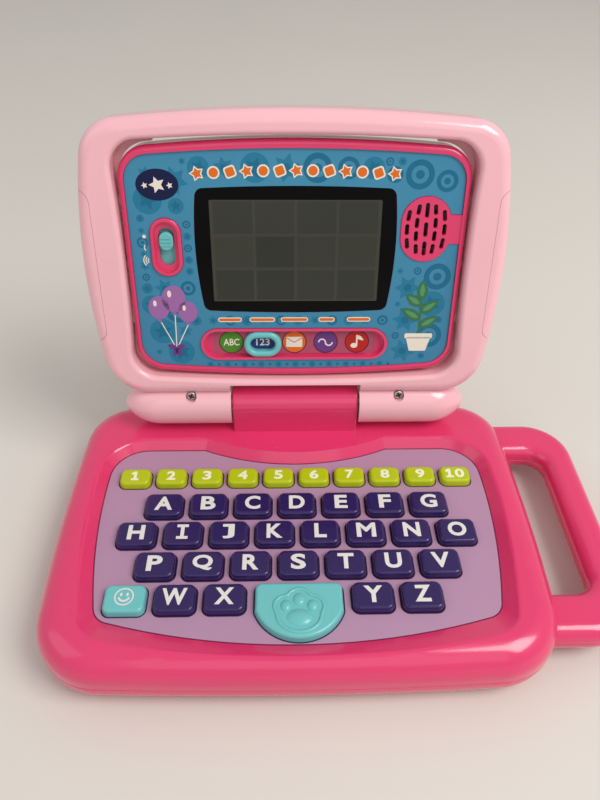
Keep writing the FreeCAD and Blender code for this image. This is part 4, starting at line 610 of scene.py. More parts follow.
DARK_ROSE_INK = ink("dark_rose_ink", (0.10, 0.015, 0.04))
# Painted shade: dark inks for the shade in the gaps round the keys and at the foot of the well wall.
KEY_GAP_SHADE = ink("key_gap_painted_shade", (0.035, 0.018, 0.045))
WELL_GAP_SHADE = ink("well_gap_painted_shade", (0.19, 0.010, 0.055))

NODE_FINISHES = {
    "hot_pink_plastic": HOT_PINK,
    "light_pink_plastic": LIGHT_PINK,
    "lavender_plastic": LAVENDER,
    "purple_plastic": INDIGO,
    "lime_plastic": LIME,
    "teal_plastic": TEAL,
    "blue_print": PLATE_BLUE,
    "black_window": WINDOW_BLACK,
    "display_grey": DISPLAY,
    "grey_rubber": RUBBER,
    "board_green": BOARD,
    "black_plastic": BLACK,
    "plated_steel": STEEL,
}


def dress_nodes():
    for part in frame["record"]["subparts"]:
        node = frame["nodes"][part["node"]]
        node.data.materials.clear()
        node.data.materials.append(NODE_FINISHES[part["material_slot"]])


# Legends of the keys.
LEGEND_THICK = 0.13
FIGURE_TALL = 6.4
FIGURE_WIDTHS = {"0": 5.4, "2": 5.0, "3": 5.0, "4": 5.6, "5": 5.0, "6": 5.2, "7": 4.8, "8": 5.2, "9": 5.2}
LETTER_TALL = 9.1
LETTER_RISE = 0.3
LETTER_WIDTHS = {
    "A": 9.6, "B": 8.0, "C": 8.4, "D": 8.6, "E": 7.0, "F": 6.8, "G": 9.0, "H": 8.8, "J": 6.2,
    "K": 8.4, "L": 6.4, "M": 10.2, "N": 9.0, "O": 9.8, "P": 7.8, "Q": 10.2, "R": 8.2, "S": 7.6,
    "T": 8.2, "U": 8.6, "V": 9.4, "W": 12.2, "X": 9.4, "Y": 9.4, "Z": 8.2,
}

# Bars of a footed one: place, width, height, corner and turn in degrees.
ONE_BARS = ((0, 0, 1.7, 6.2, 0.2, 0), (0, -2.6, 4.3, 1.3, 0.25, 0), (-1.0, 2.0, 2.6, 1.4, 0.25, 35))
TEN_ONE_SHIFT = -3.3
TEN_NOUGHT_SHIFT = 2.4

# Bars across the ends of the slim capitals: width, height and corner.
I_SERIF = (6.0, 1.7, 0.3)
J_SERIF = (5.8, 1.7, 0.3)
J_SERIF_SHIFT = -0.2
SERIF_RISE = 3.7


def key_middle(key):
    """The middle of a key's top."""
    low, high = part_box(key)
    return (low[0] + high[0]) / 2 / MM, (low[1] + high[1]) / 2 / MM


def footed_one(x, y):
    bars = [
        tile(x + across, y + up, wide, tall, corner, math.radians(turn))
        for across, up, wide, tall, corner, turn in ONE_BARS
    ]
    return raised(bars, LEGEND_THICK)


def figure(text, x, y):
    return lettering(text, x, y, FIGURE_WIDTHS[text], FIGURE_TALL, LEGEND_THICK)


def figure_solids(text, x, y):
    if text == "1":
        return footed_one(x, y)
    if text == "10":
        return footed_one(x + TEN_ONE_SHIFT, y) + [figure("0", x + TEN_NOUGHT_SHIFT, y)]
    return [figure(text, x, y)]


def letter_solids(letter, x, y):
    """Capitals, with bars across the two slim ones."""
    if letter == "I":
        bars = [tile(x, y, width=1.9, height=7.2, corner=0.2)]
        bars.extend(tile(x, y + side * SERIF_RISE, *I_SERIF) for side in SIDES)
        return raised(bars, LEGEND_THICK)
    solids = [lettering(letter, x, y, LETTER_WIDTHS[letter], LETTER_TALL, LEGEND_THICK)]
    if letter == "J":
        bar = tile(x + J_SERIF_SHIFT, y + SERIF_RISE, *J_SERIF)
        solids.append(thickened(bar, LEGEND_THICK + CROSSING_STEP))
    return solids


def print_legend(key, solids, finish):
    lay_solids("legend_" + key, solids, finish, KEY_TOP, key + "_body", on_lid=False)


def print_legends():
    for number in range(1, 11):
        key = f"number_key_{number}"
        print_legend(key, figure_solids(str(number), *key_middle(key)), PALE_LIME_INK)
    for letter in "ABCDEFGHIJKLMNOPQRSTUVWXYZ":
        key = "letter_key_" + letter.lower()
        x, y = key_middle(key)
        print_legend(key, letter_solids(letter, x, y + LETTER_RISE), WHITE_INK)


FACE_RISE = 0.5
EYE_SPREAD = 1.5
EYE_RISE = 1.2
MOUTH_RISE = 0.3


def print_smile():
    """A plain ring with two eyes and a smile."""
    x, y = key_middle("smile_key")
    y += FACE_RISE
    shapes = [ring(x, y, outer=4.7, inner=4.0, sides=56)]
    for side in SIDES:
        shapes.append(disc(x + side * EYE_SPREAD, y + EYE_RISE, wide=0.62, tall=0.95, sides=24))
    shapes.append(arc_strip(x, y + MOUTH_RISE, radius=2.6, width=1.0, start=345, sweep=150))
    lay_ink("smile_mark", shapes, WHITE_INK, KEY_TOP, 2, "smile_key_body", on_lid=False)


# Relief of the large key: rounds given by their middle, half width and half height.
PAW_MIDDLE = (0.0, -56.6)
PAW_PADS = ((0.0, -4.2, 6.6, 4.8), (-6.4, 1.9, 2.9, 3.4), (0.0, 5.2, 3.2, 3.7), (6.4, 1.9, 2.9, 3.4))
PAW_BORDERS = ((0.0, -2.6, 10.6, 9.0), (-6.4, 1.7, 5.6, 5.4), (0.0, 4.9, 6.0, 6.0), (6.4, 1.7, 5.6, 5.4))
PAD_RISE = 1.4
PAD_SINK = 0.6
RELIEF_SETTING = 0.1
BEAD_GUIDE = 10
BEAD_RADIUS = 0.95
BEAD_FLATNESS = 0.8
BEAD_EASING = 0.06


def low_dome(x, y, wide, deep):
    """A pillow cut from a flattened ball that is sunk by a part of its rise."""
    clear_selection()
    bpy.ops.mesh.primitive_uv_sphere_add(segments=32, ring_count=20, radius=MM)
    dome = bpy.context.object
    dome.scale = (wide, deep, PAD_RISE * (1 + PAD_SINK))
    dome.location = (x * MM, y * MM, (KEY_TOP - PAD_RISE * PAD_SINK) * MM)
    settle(dome)
    edit_whole(dome)
    cut = (0, 0, (KEY_TOP - RELIEF_SETTING) * MM)
    bpy.ops.mesh.bisect(plane_co=cut, plane_no=(0, 0, 1), clear_inner=True, use_fill=True)
    close_edit()
    return dome


def border_reach(angle):
    """How far out the border lies in one direction: the farthest of the rounds that it follows."""
    across, up = math.cos(angle), math.sin(angle)
    farthest = 0.0
    for x, y, wide, tall in PAW_BORDERS:
        a = (across / wide) ** 2 + (up / tall) ** 2
        b = x * across / wide ** 2 + y * up / tall ** 2
        c = (x / wide) ** 2 + (y / tall) ** 2 - 1
        inside = b * b - a * c
        if inside > 0:
            farthest = max(farthest, (b + math.sqrt(inside)) / a)
    return farthest


def paw_outline(x, y):
    """A bead that runs round the toes and the pad, its corners eased."""
    clear_selection()
    bpy.ops.mesh.primitive_torus_add(
        major_segments=160, minor_segments=10, major_radius=BEAD_GUIDE * MM, minor_radius=BEAD_RADIUS * MM
    )
    bead = bpy.context.object
    for point in bead.data.vertices:
        angle = math.atan2(point.co.y, point.co.x)
        near = sum(border_reach(angle + step * BEAD_EASING) for step in (-2, -1, 0, 1, 2)) / 5
        reach = near * MM + math.hypot(point.co.x, point.co.y) - BEAD_GUIDE * MM
        point.co = (reach * math.cos(angle), reach * math.sin(angle), point.co.z * BEAD_FLATNESS)
    bead.location = (x * MM, y * MM, KEY_TOP * MM)
    return settle(bead)


def carve_paw():
    x, y = PAW_MIDDLE
    parts = [low_dome(x + across, y + up, wide, tall) for across, up, wide, tall in PAW_PADS]
    parts.append(paw_outline(x, y))
    paw = merged(parts)
    paw.name = "paw_key_relief"
    smooth_by_angle(paw, 40)
    finished(paw, TEAL, "paw_key_body")


# Painted shade: fine dark lines where the keys and the walls of the well leave the deck, standing for the
# shade in those gaps.
LEVEL_REACH = 0.01
SHADE_LINE_FLATNESS = 0.3
KEY_SHADE_REACH = 0.32
WELL_SHADE_REACH = 0.5

# How far a face looks up: all but 1 for a floor, about nought for a wall, between them for a slope.
FLOOR_TILT = 0.9
WALL_TILT = 0.3
SLOPE_TILTS = (0.05, 0.98)


def on_deck_level(edge):
    """True for an edge between two faces that lies on the level of the deck."""
    level = all(abs(point.co.z - DECK_TOP * MM) < LEVEL_REACH * MM for point in edge.verts)
    return level and len(edge.link_faces) == 2


def tilts(edge):
    """How far the faces beside an edge look up, the lower one first."""
    return sorted(face.normal.z for face in edge.link_faces)


def gap_line(name, node, wanted, reach, finish, slot):
    """A flat bead of painted shade along the edges of a node that pass the test."""
    line = bpy.data.objects.new(name, frame["nodes"][node].data.copy())
    bpy.context.scene.collection.objects.link(line)
    edit_whole(line)
    bpy.ops.mesh.remove_doubles(threshold=MERGE_REACH * MM)
    bpy.ops.mesh.select_mode(type="EDGE")
    bpy.ops.mesh.select_all(action="DESELECT")
    shape = bmesh.from_edit_mesh(line.data)
    for edge in shape.edges:
        edge.select = not (on_deck_level(edge) and wanted(edge))
    bmesh.update_edit_mesh(line.data)
    bpy.ops.mesh.delete(type="EDGE")
    close_edit()
    bpy.ops.object.convert(target="CURVE")
    line.data.bevel_depth = reach * MM
    line.data.bevel_resolution = 1
    bpy.ops.object.convert(target="MESH")
    edit_whole(line)
    bpy.ops.transform.resize(value=(1, 1, SHADE_LINE_FLATNESS), center_override=(0, 0, DECK_TOP * MM))
    bpy.ops.mesh.normals_make_consistent(inside=False)
    close_edit()
    bpy.ops.object.shade_smooth()
    return finished(line, finish, "base")


def draw_gap_lines():
    keys = [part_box(part["node"]) for part in frame["record"]["subparts"] if "_key" in part["node"]]

    def rim_of_hole(edge):
        x, y = [sum(point.co[axis] for point in edge.verts) / 2 for axis in (0, 1)]
        at_key = any(low[0] < x < high[0] and low[1] < y < high[1] for low, high in keys)
        lower, upper = tilts(edge)
        return at_key and upper > FLOOR_TILT and abs(lower) < WALL_TILT

    def foot_of_wall(edge):
        lower, upper = tilts(edge)
        return lower < -FLOOR_TILT and SLOPE_TILTS[0] < upper < SLOPE_TILTS[1]

    # Painted shade: dark beads round the key holes and along the foot of the well wall.
    key_shade = (KEY_SHADE_REACH, KEY_GAP_SHADE, "lavender_plastic")
    gap_line("key_gap_painted_shade_lines", "keyboard_deck", rim_of_hole, *key_shade)
    well_shade = (WELL_SHADE_REACH, WELL_GAP_SHADE, "hot_pink_plastic")
    gap_line("well_gap_painted_shade_line", "base_top_shell", foot_of_wall, *well_shade)


# Screws with a cross recess, standing for the plain ones.
HEAD_RADIUS = 2.6
HEAD_HIGH = 2.0
HEAD_ROUND = 0.75
SHANK_RADIUS = 1.25
SHANK_OVERLAP = 0.1
SHANK_POINT = 0.4
RECESS_LONG = 3.5
RECESS_WIDE = 1.05
RECESS_CORNER = 0.2
RECESS_DEEP = 1.6
CUTTER_HIGH = 2.0
LID_SCREW_PLACE = (60, 8.3)
LID_SCREW_TURN = 0.4
LID_SCREW_LEVEL = 10
LID_SCREW_LONG = 12.0
SHADE_LEVEL = 9.6
SHADE_THICK = 0.1
SHADE_MARGIN = 0.1
SHELL_SCREWS = ((115.2, -30.3), (115.2, 40.0), (89.0, 78.0), (62.0, -76.3))
SHELL_SCREW_LEVEL = 6.0
SHELL_SCREW_LONG = 16.0
SHELL_ROW_TURN = 0.5
SHELL_SIDE_TURN = 0.3
RIM_REACH = 0.1
POINT_REACH = 0.5


def recess_cutter(turn):
    arm = thickened(tile(0, 0, RECESS_LONG, RECESS_WIDE, RECESS_CORNER, turn), CUTTER_HIGH)
    return lifted(arm, -RECESS_DEEP)


def cross_screw(shank_long):
    """Head up, top of the head at the origin."""
    clear_selection()
    bpy.ops.mesh.primitive_cylinder_add(vertices=48, radius=HEAD_RADIUS * MM, depth=HEAD_HIGH * MM)
    screw = lifted(bpy.context.object, -HEAD_HIGH / 2)
    edit_points(screw, lambda number, place: place.z > -RIM_REACH * MM)
    bpy.ops.mesh.bevel(offset=HEAD_ROUND * MM, segments=4, affect="EDGES")
    close_edit()
    arms = [recess_cutter(turn) for turn in (0, QUARTER)]
    for arm in arms:
        carve = screw.modifiers.new("cross", "BOOLEAN")
        carve.operation = "DIFFERENCE"
        carve.object = arm
    apply_modifiers(screw)
    for arm in arms:
        bpy.data.objects.remove(arm)
    clear_selection()
    bpy.ops.mesh.primitive_cylinder_add(vertices=24, radius=SHANK_RADIUS * MM, depth=shank_long * MM)
    stem = lifted(bpy.context.object, -(HEAD_HIGH + shank_long / 2 - SHANK_OVERLAP))
    edit_points(stem, lambda number, place: place.z < -(HEAD_HIGH + shank_long - POINT_REACH) * MM)
    bpy.ops.transform.resize(value=(SHANK_POINT, SHANK_POINT, 1))
    close_edit()
    screw = merged([screw, stem])
    smooth_by_angle(screw, 35)
    return screw


def set_lid_screws():
    model = cross_screw(LID_SCREW_LONG)
    x, y = LID_SCREW_PLACE
    lid = merged([turned(copied(model), x * side, y, LID_SCREW_TURN * side) for side in SIDES])
    lid.name = "lid_cross_screws"
    lifted(lid, LID_SCREW_LEVEL)
    finished(onto_lid(lid), STEEL, "lid")
    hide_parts("lid_screws")
    bpy.data.objects.remove(model)


def shade_lid_recesses():
    """Painted shade: black solids laid in the cross recesses as dark floors, for the shade inside them."""
    x, y = LID_SCREW_PLACE
    long, wide = RECESS_LONG + SHADE_MARGIN, RECESS_WIDE + SHADE_MARGIN
    arms = [
        tile(x * side, y, long, wide, RECESS_CORNER, LID_SCREW_TURN * side + turn)
        for side in SIDES
        for turn in (0, QUARTER)
    ]
    # Painted shade: the black plastic finish stands for the shade deep in the steel recesses.
    lay_solids("lid_screw_recess_painted_shade", raised(arms, SHADE_THICK), BLACK, SHADE_LEVEL, "lid")


def set_shell_screws():
    """Screws under the base, heads down in their counterbores."""
    model = cross_screw(SHELL_SCREW_LONG)
    model.rotation_euler = (math.pi, 0, 0)
    settle(model)
    screws = []
    for number, (x, y) in enumerate(SHELL_SCREWS):
        for side in SIDES:
            turn = SHELL_ROW_TURN * number + SHELL_SIDE_TURN * side
            screws.append(turned(copied(model), x * side, y, turn))
    base = merged(screws)
    base.name = "shell_cross_screws"
    lifted(base, SHELL_SCREW_LEVEL)
    finished(base, STEEL, "base")
    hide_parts("base_screws")
    bpy.data.objects.remove(model)


# Printed face of the flip screen: places are across and up the lid.
PLATE_MIDDLE = 84.4
PLATE_HALF_WIDTH = 83.5
PLATE_SIDE_BOW = 0.00081
PLATE_LOWEST = 27.0
PLATE_HIGHEST = 142.0
PLATE_TOP_BOW = 0.0007
PLATE_CORNER = (66, 39)
PLATE_CORNER_RADIUS = 17

# What stands on the plate, as left, low, right and high: window, trough, volume slider and grille.
KEEP_CLEAR = (
    (-53.0, 57.5, 53.0, 127.0),
    (-53.6, 29.5, 52.4, 50.2),
    (-76.0, 78.5, -58.0, 110.7),
    (53.5, 86.5, 90.0, 121.6),
)
MOTIF_REACHES = (7.2, 5.4, 4.0, 2.9, 2.0)
MOTIF_STEP = 3.1
MOTIF_START = (-90, 26)
MOTIF_ROWS = 40
MOTIF_COLUMNS = 60
MOTIF_GAP = 0.7
MOTIF_SHUFFLE = 7

# Parts of a motif's reach.
RING_PART = 0.62
DOT_PART = 0.3
STAR_PART = 0.72
STAR_WAIST = 0.36
FLOWER_WAIST = 0.55

# The row of small motifs at the foot.
FOOT_ROW = 27.3
FOOT_STEP = 9.6
FOOT_MOTIFS = 11


def plate_is_free(x, up, reach):
    """True where a motif of that reach lies on the bare plate."""
    side = PLATE_HALF_WIDTH - PLATE_SIDE_BOW * (up - PLATE_MIDDLE) ** 2
    top = PLATE_HIGHEST - PLATE_TOP_BOW * x * x
    if abs(x) + reach > side or up - reach < PLATE_LOWEST or up + reach > top:
        return False
    corner_x, corner_up = abs(x) - PLATE_CORNER[0], abs(up - PLATE_MIDDLE) - PLATE_CORNER[1]
    in_corner = corner_x > 0 and corner_up > 0
    if in_corner and math.hypot(corner_x, corner_up) + reach > PLATE_CORNER_RADIUS:
        return False
    for left, low, right, high in KEEP_CLEAR:
        if left - reach < x < right + reach and low - reach < up < high + reach:
            return False
    return True


def wallpaper_places():
    """Staggered places over the plate with a reach that suits each gap."""
    left, low = MOTIF_START
    for reach in MOTIF_REACHES:
        for row in range(MOTIF_ROWS):
            for column in range(MOTIF_COLUMNS):
                x = left + column * MOTIF_STEP + (row % 2) * MOTIF_STEP / 2
                up = low + row * MOTIF_STEP
                if plate_is_free(x, up, reach):
                    yield row * MOTIF_SHUFFLE + column, x, up, reach


def print_wallpaper():
    """Tone on tone discs, rings and stars, with a row of small ones at the foot."""
    deep = []
    soft = []
    taken = []
    for number, x, up, reach in wallpaper_places():
        if any(math.hypot(x - a, up - b) < reach + c + MOTIF_GAP for a, b, c in taken):
            continue
        taken.append((x, up, reach))
        kind = len(taken) % 3
        if kind == 0:
            deep.append(ring(x, up, reach, reach * RING_PART))
            deep.append(disc(x, up, reach * DOT_PART, sides=24))
        elif kind == 1:
            soft.append(disc(x, up, reach))
            deep.append(star(x, up, reach * STAR_PART, reach * STAR_WAIST, turn=number * 0.7))
        else:
            soft.append(star(x, up, reach, reach * FLOWER_WAIST, turn=number * 0.9, tips=6))
            deep.append(disc(x, up, reach * DOT_PART, sides=24))
    for number in range(FOOT_MOTIFS):
        x = (number - (FOOT_MOTIFS - 1) / 2) * FOOT_STEP
        soft.append(disc(x, FOOT_ROW, wide=1.8, sides=24))
        deep.append(star(x, FOOT_ROW, reach=1.2, waist=0.6, turn=number * 0.8))
        deep.append(disc(x + FOOT_STEP / 2, FOOT_ROW, wide=0.8, sides=24))
    print_on_plate("plate_pale_pattern", soft, SOFT_BLUE_INK, 1)
    print_on_plate("plate_deep_pattern", deep, DEEP_BLUE_INK, 2)


BADGE_MIDDLE = (-69.0, 126.3)
SMALL_STAR_SPREAD = 6.2
SMALL_STAR_DROP = 0.3


def print_badge():
    """An oval with one large star between two small ones."""
    x, up = BADGE_MIDDLE
    field = disc(x, up, wide=10.6, tall=7.7, sides=56)
    print_on_plate("badge_field", [field], NAVY_INK, 3)
    stars = [star(x, up, reach=4.2, waist=2.0, turn=QUARTER)]
    for side in SIDES:
        place = (x + side * SMALL_STAR_SPREAD, up - SMALL_STAR_DROP)
        stars.append(star(*place, reach=1.7, waist=0.8, turn=QUARTER))
    print_on_plate("badge_stars", stars, CREAM_INK, 4)


# A row of small bright shapes on a bow: stars, discs and tiles, each with a larger pale one under it.
TITLE_COUNT = 13
TITLE_LEFT = -49.0
TITLE_STEP = 8.2
TITLE_LEVEL = 133.2
TITLE_BOW = 0.0006
TITLE_TILT = 0.35
PALE_SIZES = {"star": (3.9, 2.3), "disc": 3.1, "tile": (5.8, 1.4)}
BRIGHT_SIZES = {"star": (2.9, 1.6), "disc": 2.3, "tile": (4.3, 1.0)}


def title_shape(number, x, up, sizes):
    kind = ("star", "disc", "tile")[number % 3]
    if kind == "star":
        reach, waist = sizes[kind]
        return star(x, up, reach, waist, QUARTER)
    if kind == "disc":
        return disc(x, up, sizes[kind])
    side, corner = sizes[kind]
    return tile(x, up, side, side, corner, TITLE_TILT)


def print_title_row():
    pale = []
    bright = []
    for number in range(TITLE_COUNT):
        x = TITLE_LEFT + number * TITLE_STEP
        up = TITLE_LEVEL - TITLE_BOW * x * x
        pale.append(title_shape(number, x, up, PALE_SIZES))
        bright.append(title_shape(number, x, up, BRIGHT_SIZES))
    print_on_plate("title_row_outline", pale, CREAM_INK, 3)
    print_on_plate("title_row_shapes", bright, ORANGE_INK, 4)


# Stops of the mode ring, which rests on the second one.
MODE_STEP = 17.65
RING_PLACE = sum(corner[0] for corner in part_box("mode_slider")) / 2 / MM
ICON_PLACES = [RING_PLACE + MODE_STEP * stop for stop in range(-1, 4)]
CAPTION_LENGTHS = (13.0, 14.0, 15.0, 9.0, 13.0)
CAPTION_LEVEL = 54.4
CAPTION_HIGH = 2.7
CAPTION_EDGE = 1.1


def print_caption_bars():
    pale = []
    bright = []
    for x, length in zip(ICON_PLACES, CAPTION_LENGTHS):
        pale.append(pill(x, CAPTION_LEVEL, length, CAPTION_HIGH))
        bright.append(pill(x, CAPTION_LEVEL, length - CAPTION_EDGE, CAPTION_HIGH - CAPTION_EDGE))
    print_on_plate("caption_outline", pale, CREAM_INK, 3)
    print_on_plate("caption_bars", bright, ORANGE_INK, 4)


# Balloons: across, up and half width.
BALLOONS = ((-74.0, 61.5, 5.6), (-65.6, 66.5, 6.4), (-58.6, 59.0, 5.2))
STRINGS_END = (-66.2, 37.0)
BOW_RISE = 0.6
BOW_TURNS = (20, 160, 250, 290)

# Parts of a balloon's half width.
BALLOON_TALL = 1.18
NECK_DROP = 1.3
SHINE_PLACE = (-0.35, 0.45)
SHINE_SIZE = (0.17, 0.3)


def balloon_string(x, up):
    """A straight string from under a balloon to the bow."""
    drop_x, drop_up = STRINGS_END[0] - x, STRINGS_END[1] - up
    length = math.hypot(drop_x, drop_up)
    lean = math.atan2(drop_up, drop_x)
    return pill(x + drop_x / 2, up + drop_up / 2, length, width=0.55, turn=lean)


def print_balloons():
    """Three balloons on strings, at the foot of the left side."""
    strings = []
    bodies = []
    shines = []
    for x, up, size in BALLOONS:
        neck = up - size * NECK_DROP
        bodies.append(disc(x, up, size, size * BALLOON_TALL))
        bodies.append(star(x, neck, reach=1.5, waist=0.8, turn=QUARTER, tips=3))
        shine_x, shine_up = x + size * SHINE_PLACE[0], up + size * SHINE_PLACE[1]
        shines.append(disc(shine_x, shine_up, size * SHINE_SIZE[0], size * SHINE_SIZE[1], sides=24))
        strings.append(balloon_string(x, neck))
    x, up = STRINGS_END
    bow = [leaf(x, up + BOW_RISE, length=5.0, width=3.0, turn=math.radians(turn)) for turn in BOW_TURNS]
    print_on_plate("balloon_strings", strings, CREAM_INK, 3)
    print_on_plate("balloons", bodies, LILAC_INK, 4)
    print_on_plate("balloon_shines", shines, CREAM_INK, 5)
    print_on_plate("balloon_bow", bow, VIOLET_INK, 5)


# Leaves of the plant: where they leave the stem, their length and their turn in degrees.
PLANT_PLACE = 68.6
PLANT_LEAVES = ((50.0, 11.0, 30), (54.5, 11.5, 150), (58.5, 11.0, 35), (62.5, 10.0, 145), (66.0, 10.0, 90))
VEIN_SHIFT = 1.6
VEIN_PART = 0.68
STEM_LEVEL = 56.0
POT_LEVEL = 39.5
RIM_LEVEL = 44.4


def print_plant():
    """A leafy plant in a pot, at the foot of the right side."""
    x = PLANT_PLACE
    stem = pill(x, STEM_LEVEL, length=22.0, width=1.1, turn=QUARTER)
    leaves = []
    veins = []
    for up, length, turn in PLANT_LEAVES:
        angle = math.radians(turn)
        vein_x, vein_up = x + VEIN_SHIFT * math.cos(angle), up + VEIN_SHIFT * math.sin(angle)
        leaves.append(leaf(x, up, length, width=6.0, turn=angle))
        veins.append(leaf(vein_x, vein_up, length * VEIN_PART, width=2.6, turn=angle))
    pot = wedge(x, POT_LEVEL, top=13.5, foot=9.5, height=8.4, corner=0.6)
    rim = tile(x, RIM_LEVEL, width=15.5, height=3.0, corner=0.9)
    print_on_plate("plant_stem", [stem], LEAF_INK, 3)
    print_on_plate("plant_leaves", leaves, LEAF_INK, 4)
    print_on_plate("plant_veins", veins, PALE_LEAF_INK, 5)
    print_on_plate("plant_pot", [pot, rim], CREAM_INK, 5)


# Places of the volume marks, and the line, direction and sweep of their waves.
QUIET_PLACE = (-78.0, 100.4)
MIDDLE_PLACE = (-76.4, 94.6)
LOUD_PLACE = (-75.6, 87.8)
LOUD_RADII = (1.5, 2.65, 3.8)
WAVE = {"width": 0.55, "start": 225, "sweep": 90}


def print_volume_marks():
    """A dot, one wave and three waves beside the volume slider."""
    shapes = [disc(*QUIET_PLACE, wide=0.95, sides=24), arc_strip(*MIDDLE_PLACE, radius=2.0, **WAVE)]
    shapes.extend(arc_strip(*LOUD_PLACE, radius, **WAVE) for radius in LOUD_RADII)
    print_on_plate("volume_marks", shapes, CREAM_INK, 3)


STRIP_MIDDLE = (-0.6, 39.8)
ICON_LEVEL = 39.9
ICON_RADIUS = 6.7
ICON_EDGE_OUTER = 6.9
ICON_EDGE_INNER = 6.35
SIGN_LAYER = 4


def envelope(x):
    return tile(x, ICON_LEVEL, width=9.0, height=6.2, corner=0.5)


def envelope_flap(x):
    """Two lines that meet below the middle of the envelope's top."""
    lean = math.radians(32)
    up = ICON_LEVEL + 1.1
    return [pill(x + side * 2.1, up, length=5.4, width=0.5, turn=side * lean) for side in SIDES]


def wave_sign(x):
    """Two half rings side by side, one up and one down."""
    up = ICON_LEVEL - 0.3
    line = {"radius": 1.9, "width": 0.8, "sweep": 180}
    return [arc_strip(x - 2.0, up, start=180, **line), arc_strip(x + 1.8, up, start=0, **line)]


def note_sign(x):
    """Head, stem and flag of a note."""
    return [
        disc(x - 1.6, ICON_LEVEL - 2.3, wide=1.9, tall=1.5, sides=28),
        pill(x - 0.1, ICON_LEVEL + 0.7, length=7.0, width=0.9, turn=QUARTER),
        leaf(x - 0.4, ICON_LEVEL + 3.7, length=4.6, width=2.2, turn=math.radians(-35)),
    ]


def print_mode_signs():
    """Pale signs: letters, figures, an envelope, a wave and a note."""
    letters, figures, post, wave, note = ICON_PLACES
    high = ink_height(SIGN_LAYER)
    solids = raised([envelope(post), *wave_sign(wave), *note_sign(note)], high)
    type_size = {"tall": 4.2, "thick": high, "weight": PLAIN_WEIGHT}
    solids.append(lettering("ABC", letters, ICON_LEVEL, wide=9.0, **type_size))
    solids.append(lettering("123", figures, ICON_LEVEL, wide=7.6, **type_size))
    lay_solids("mode_signs", solids, CREAM_INK, TROUGH_FLOOR, "screen")
    print_in_trough("mode_post_flap", envelope_flap(post), ORANGE_INK, SIGN_LAYER + 1)


def print_mode_strip():
    """Picture strip on the floor of the mode trough."""
    ends = pill(*STRIP_MIDDLE, length=98.6, width=14.6)
    print_in_trough("mode_strip_ends", [ends], PINK_INK, 1)
    strip = tile(*STRIP_MIDDLE, width=91.0, height=13.8, corner=1.2)
    print_in_trough("mode_strip", [strip], ROSE_INK, 2)
    fields = (
        ("mode_letters_field", GREEN_INK),
        ("mode_figures_field", ROYAL_BLUE_INK),
        ("mode_post_field", ORANGE_INK),
        ("mode_games_field", VIOLET_INK),
        ("mode_music_field", RED_INK),
    )
    for x, (name, finish) in zip(ICON_PLACES, fields):
        print_in_trough(name, [disc(x, ICON_LEVEL, ICON_RADIUS)], finish, 3)
    edges = [ring(x, ICON_LEVEL, ICON_EDGE_OUTER, ICON_EDGE_INNER, sides=56) for x in ICON_PLACES]
    print_in_trough("mode_field_edges", edges, DARK_ROSE_INK, 4)
    print_mode_signs()


DISPLAY_MIDDLE = (0, 92.0)


def print_display():
    area = tile(*DISPLAY_MIDDLE, width=88.0, height=53.8, corner=0.8)
    lay_ink("display_area", [area], DISPLAY, WINDOW_FACE, 1, "screen")


# Setting, in metres.
FLOOR_SIZE = 9
FLOOR_MIDDLE = (0, 1.5, 0)
FLOOR_TONES = ((0.66, 0.635, 0.59), (0.70, 0.675, 0.635))
FLOOR_ROUGHNESS = 0.6
ROOM_TINT = (1.0, 0.97, 0.94, 1)
ROOM_LEVEL = 0.56
LIGHT_TARGET = Vector((0, 0.02, 0.06))
WHITE = (1, 1, 1)
WARM_WHITE = (1, 0.97, 0.93)

# Soft boxes: name, place, size, power and tint.
SOFT_BOXES = (
    ("window_right", (0.9, -0.45, 1.3), (0.8, 0.8), 16, WARM_WHITE),
    ("room_left", (-1.1, -0.3, 0.9), (0.9, 0.9), 1.6, WHITE),
    ("room_front", (0.1, -1.3, 1.0), (1.2, 0.8), 1.8, WHITE),
)

# Camera of the photograph: focal length and frame height in its pixels, turns in degrees.
CAMERA_PLACE = (-0.007, -0.2272, 0.32345)
FOCAL_PIXELS = 680
FRAME_PIXELS = 800
SENSOR = 36
CAMERA_NEAR = 0.01
CAMERA_PITCH = math.radians(42.51)
CAMERA_YAW = math.radians(-1.91)
CAMERA_ROLL = math.radians(0.92)


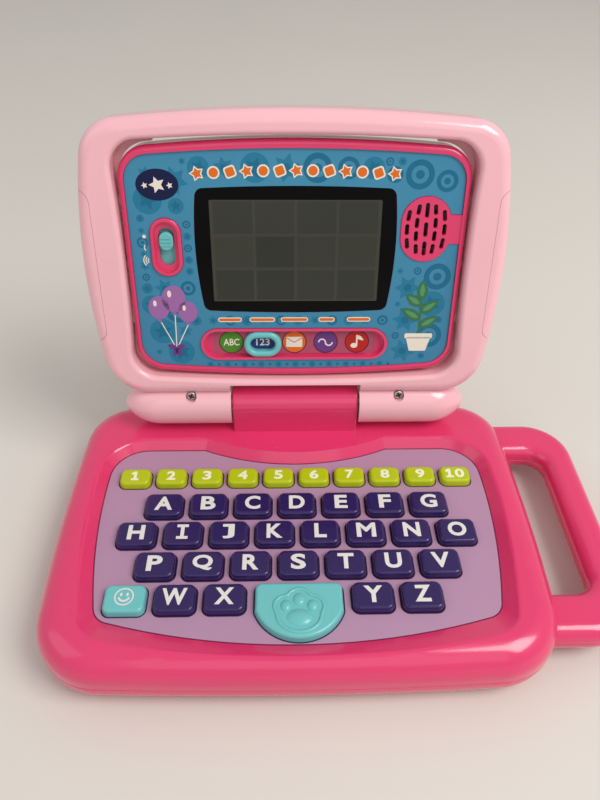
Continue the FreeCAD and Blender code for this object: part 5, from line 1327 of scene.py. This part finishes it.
def set_stage():
    clear_selection()
    bpy.ops.mesh.primitive_plane_add(size=FLOOR_SIZE, location=FLOOR_MIDDLE)
    floor = bpy.context.object
    floor.name = "floor"
    finish = bpy.data.materials.new("pale_floor")
    finish.use_nodes = True
    tree = finish.node_tree
    shader = tree.nodes["Principled BSDF"].inputs
    cloud = noise(tree, own_place(tree), scale=3)
    feed(tree, shader["Base Color"], blend_colours(tree, cloud, *FLOOR_TONES))
    feed(tree, shader["Roughness"], FLOOR_ROUGHNESS)
    floor.data.materials.append(finish)


def soft_box(name, place, size, power, tint):
    clear_selection()
    bpy.ops.object.light_add(type="AREA", location=place)
    lamp = bpy.context.object
    lamp.name = name
    lamp.data.shape = "RECTANGLE"
    lamp.data.size, lamp.data.size_y = size
    lamp.data.energy = power
    lamp.data.color = tint
    lamp.rotation_euler = (LIGHT_TARGET - lamp.location).to_track_quat("-Z", "Y").to_euler()


def set_light():
    world = bpy.data.worlds.new("soft_room")
    bpy.context.scene.world = world
    world.use_nodes = True
    sky = world.node_tree.nodes["Background"].inputs
    sky["Color"].default_value = ROOM_TINT
    sky["Strength"].default_value = ROOM_LEVEL
    for box in SOFT_BOXES:
        soft_box(*box)


def set_camera():
    clear_selection()
    bpy.ops.object.camera_add(location=CAMERA_PLACE)
    camera = bpy.context.object
    camera.name = "photo_camera"
    camera.data.sensor_width = SENSOR
    camera.data.lens = FOCAL_PIXELS / FRAME_PIXELS * SENSOR
    camera.data.clip_start = CAMERA_NEAR
    camera.rotation_mode = "XYZ"
    ahead = math.cos(CAMERA_PITCH)
    look = Vector((-math.sin(CAMERA_YAW) * ahead, math.cos(CAMERA_YAW) * ahead, -math.sin(CAMERA_PITCH)))
    camera.rotation_euler = look.to_track_quat("-Z", "Y").to_euler()
    camera.rotation_euler.rotate_axis("Z", CAMERA_ROLL)
    bpy.context.scene.camera = camera


dress_nodes()
print_legends()
print_smile()
carve_paw()
draw_gap_lines()
set_lid_screws()
shade_lid_recesses()
set_shell_screws()
print_wallpaper()
print_badge()
print_title_row()
print_caption_bars()
print_balloons()
print_plant()
print_volume_marks()
print_mode_strip()
print_display()
set_stage()
set_light()
set_camera()
bpy.context.scene.view_settings.view_transform = "Standard"
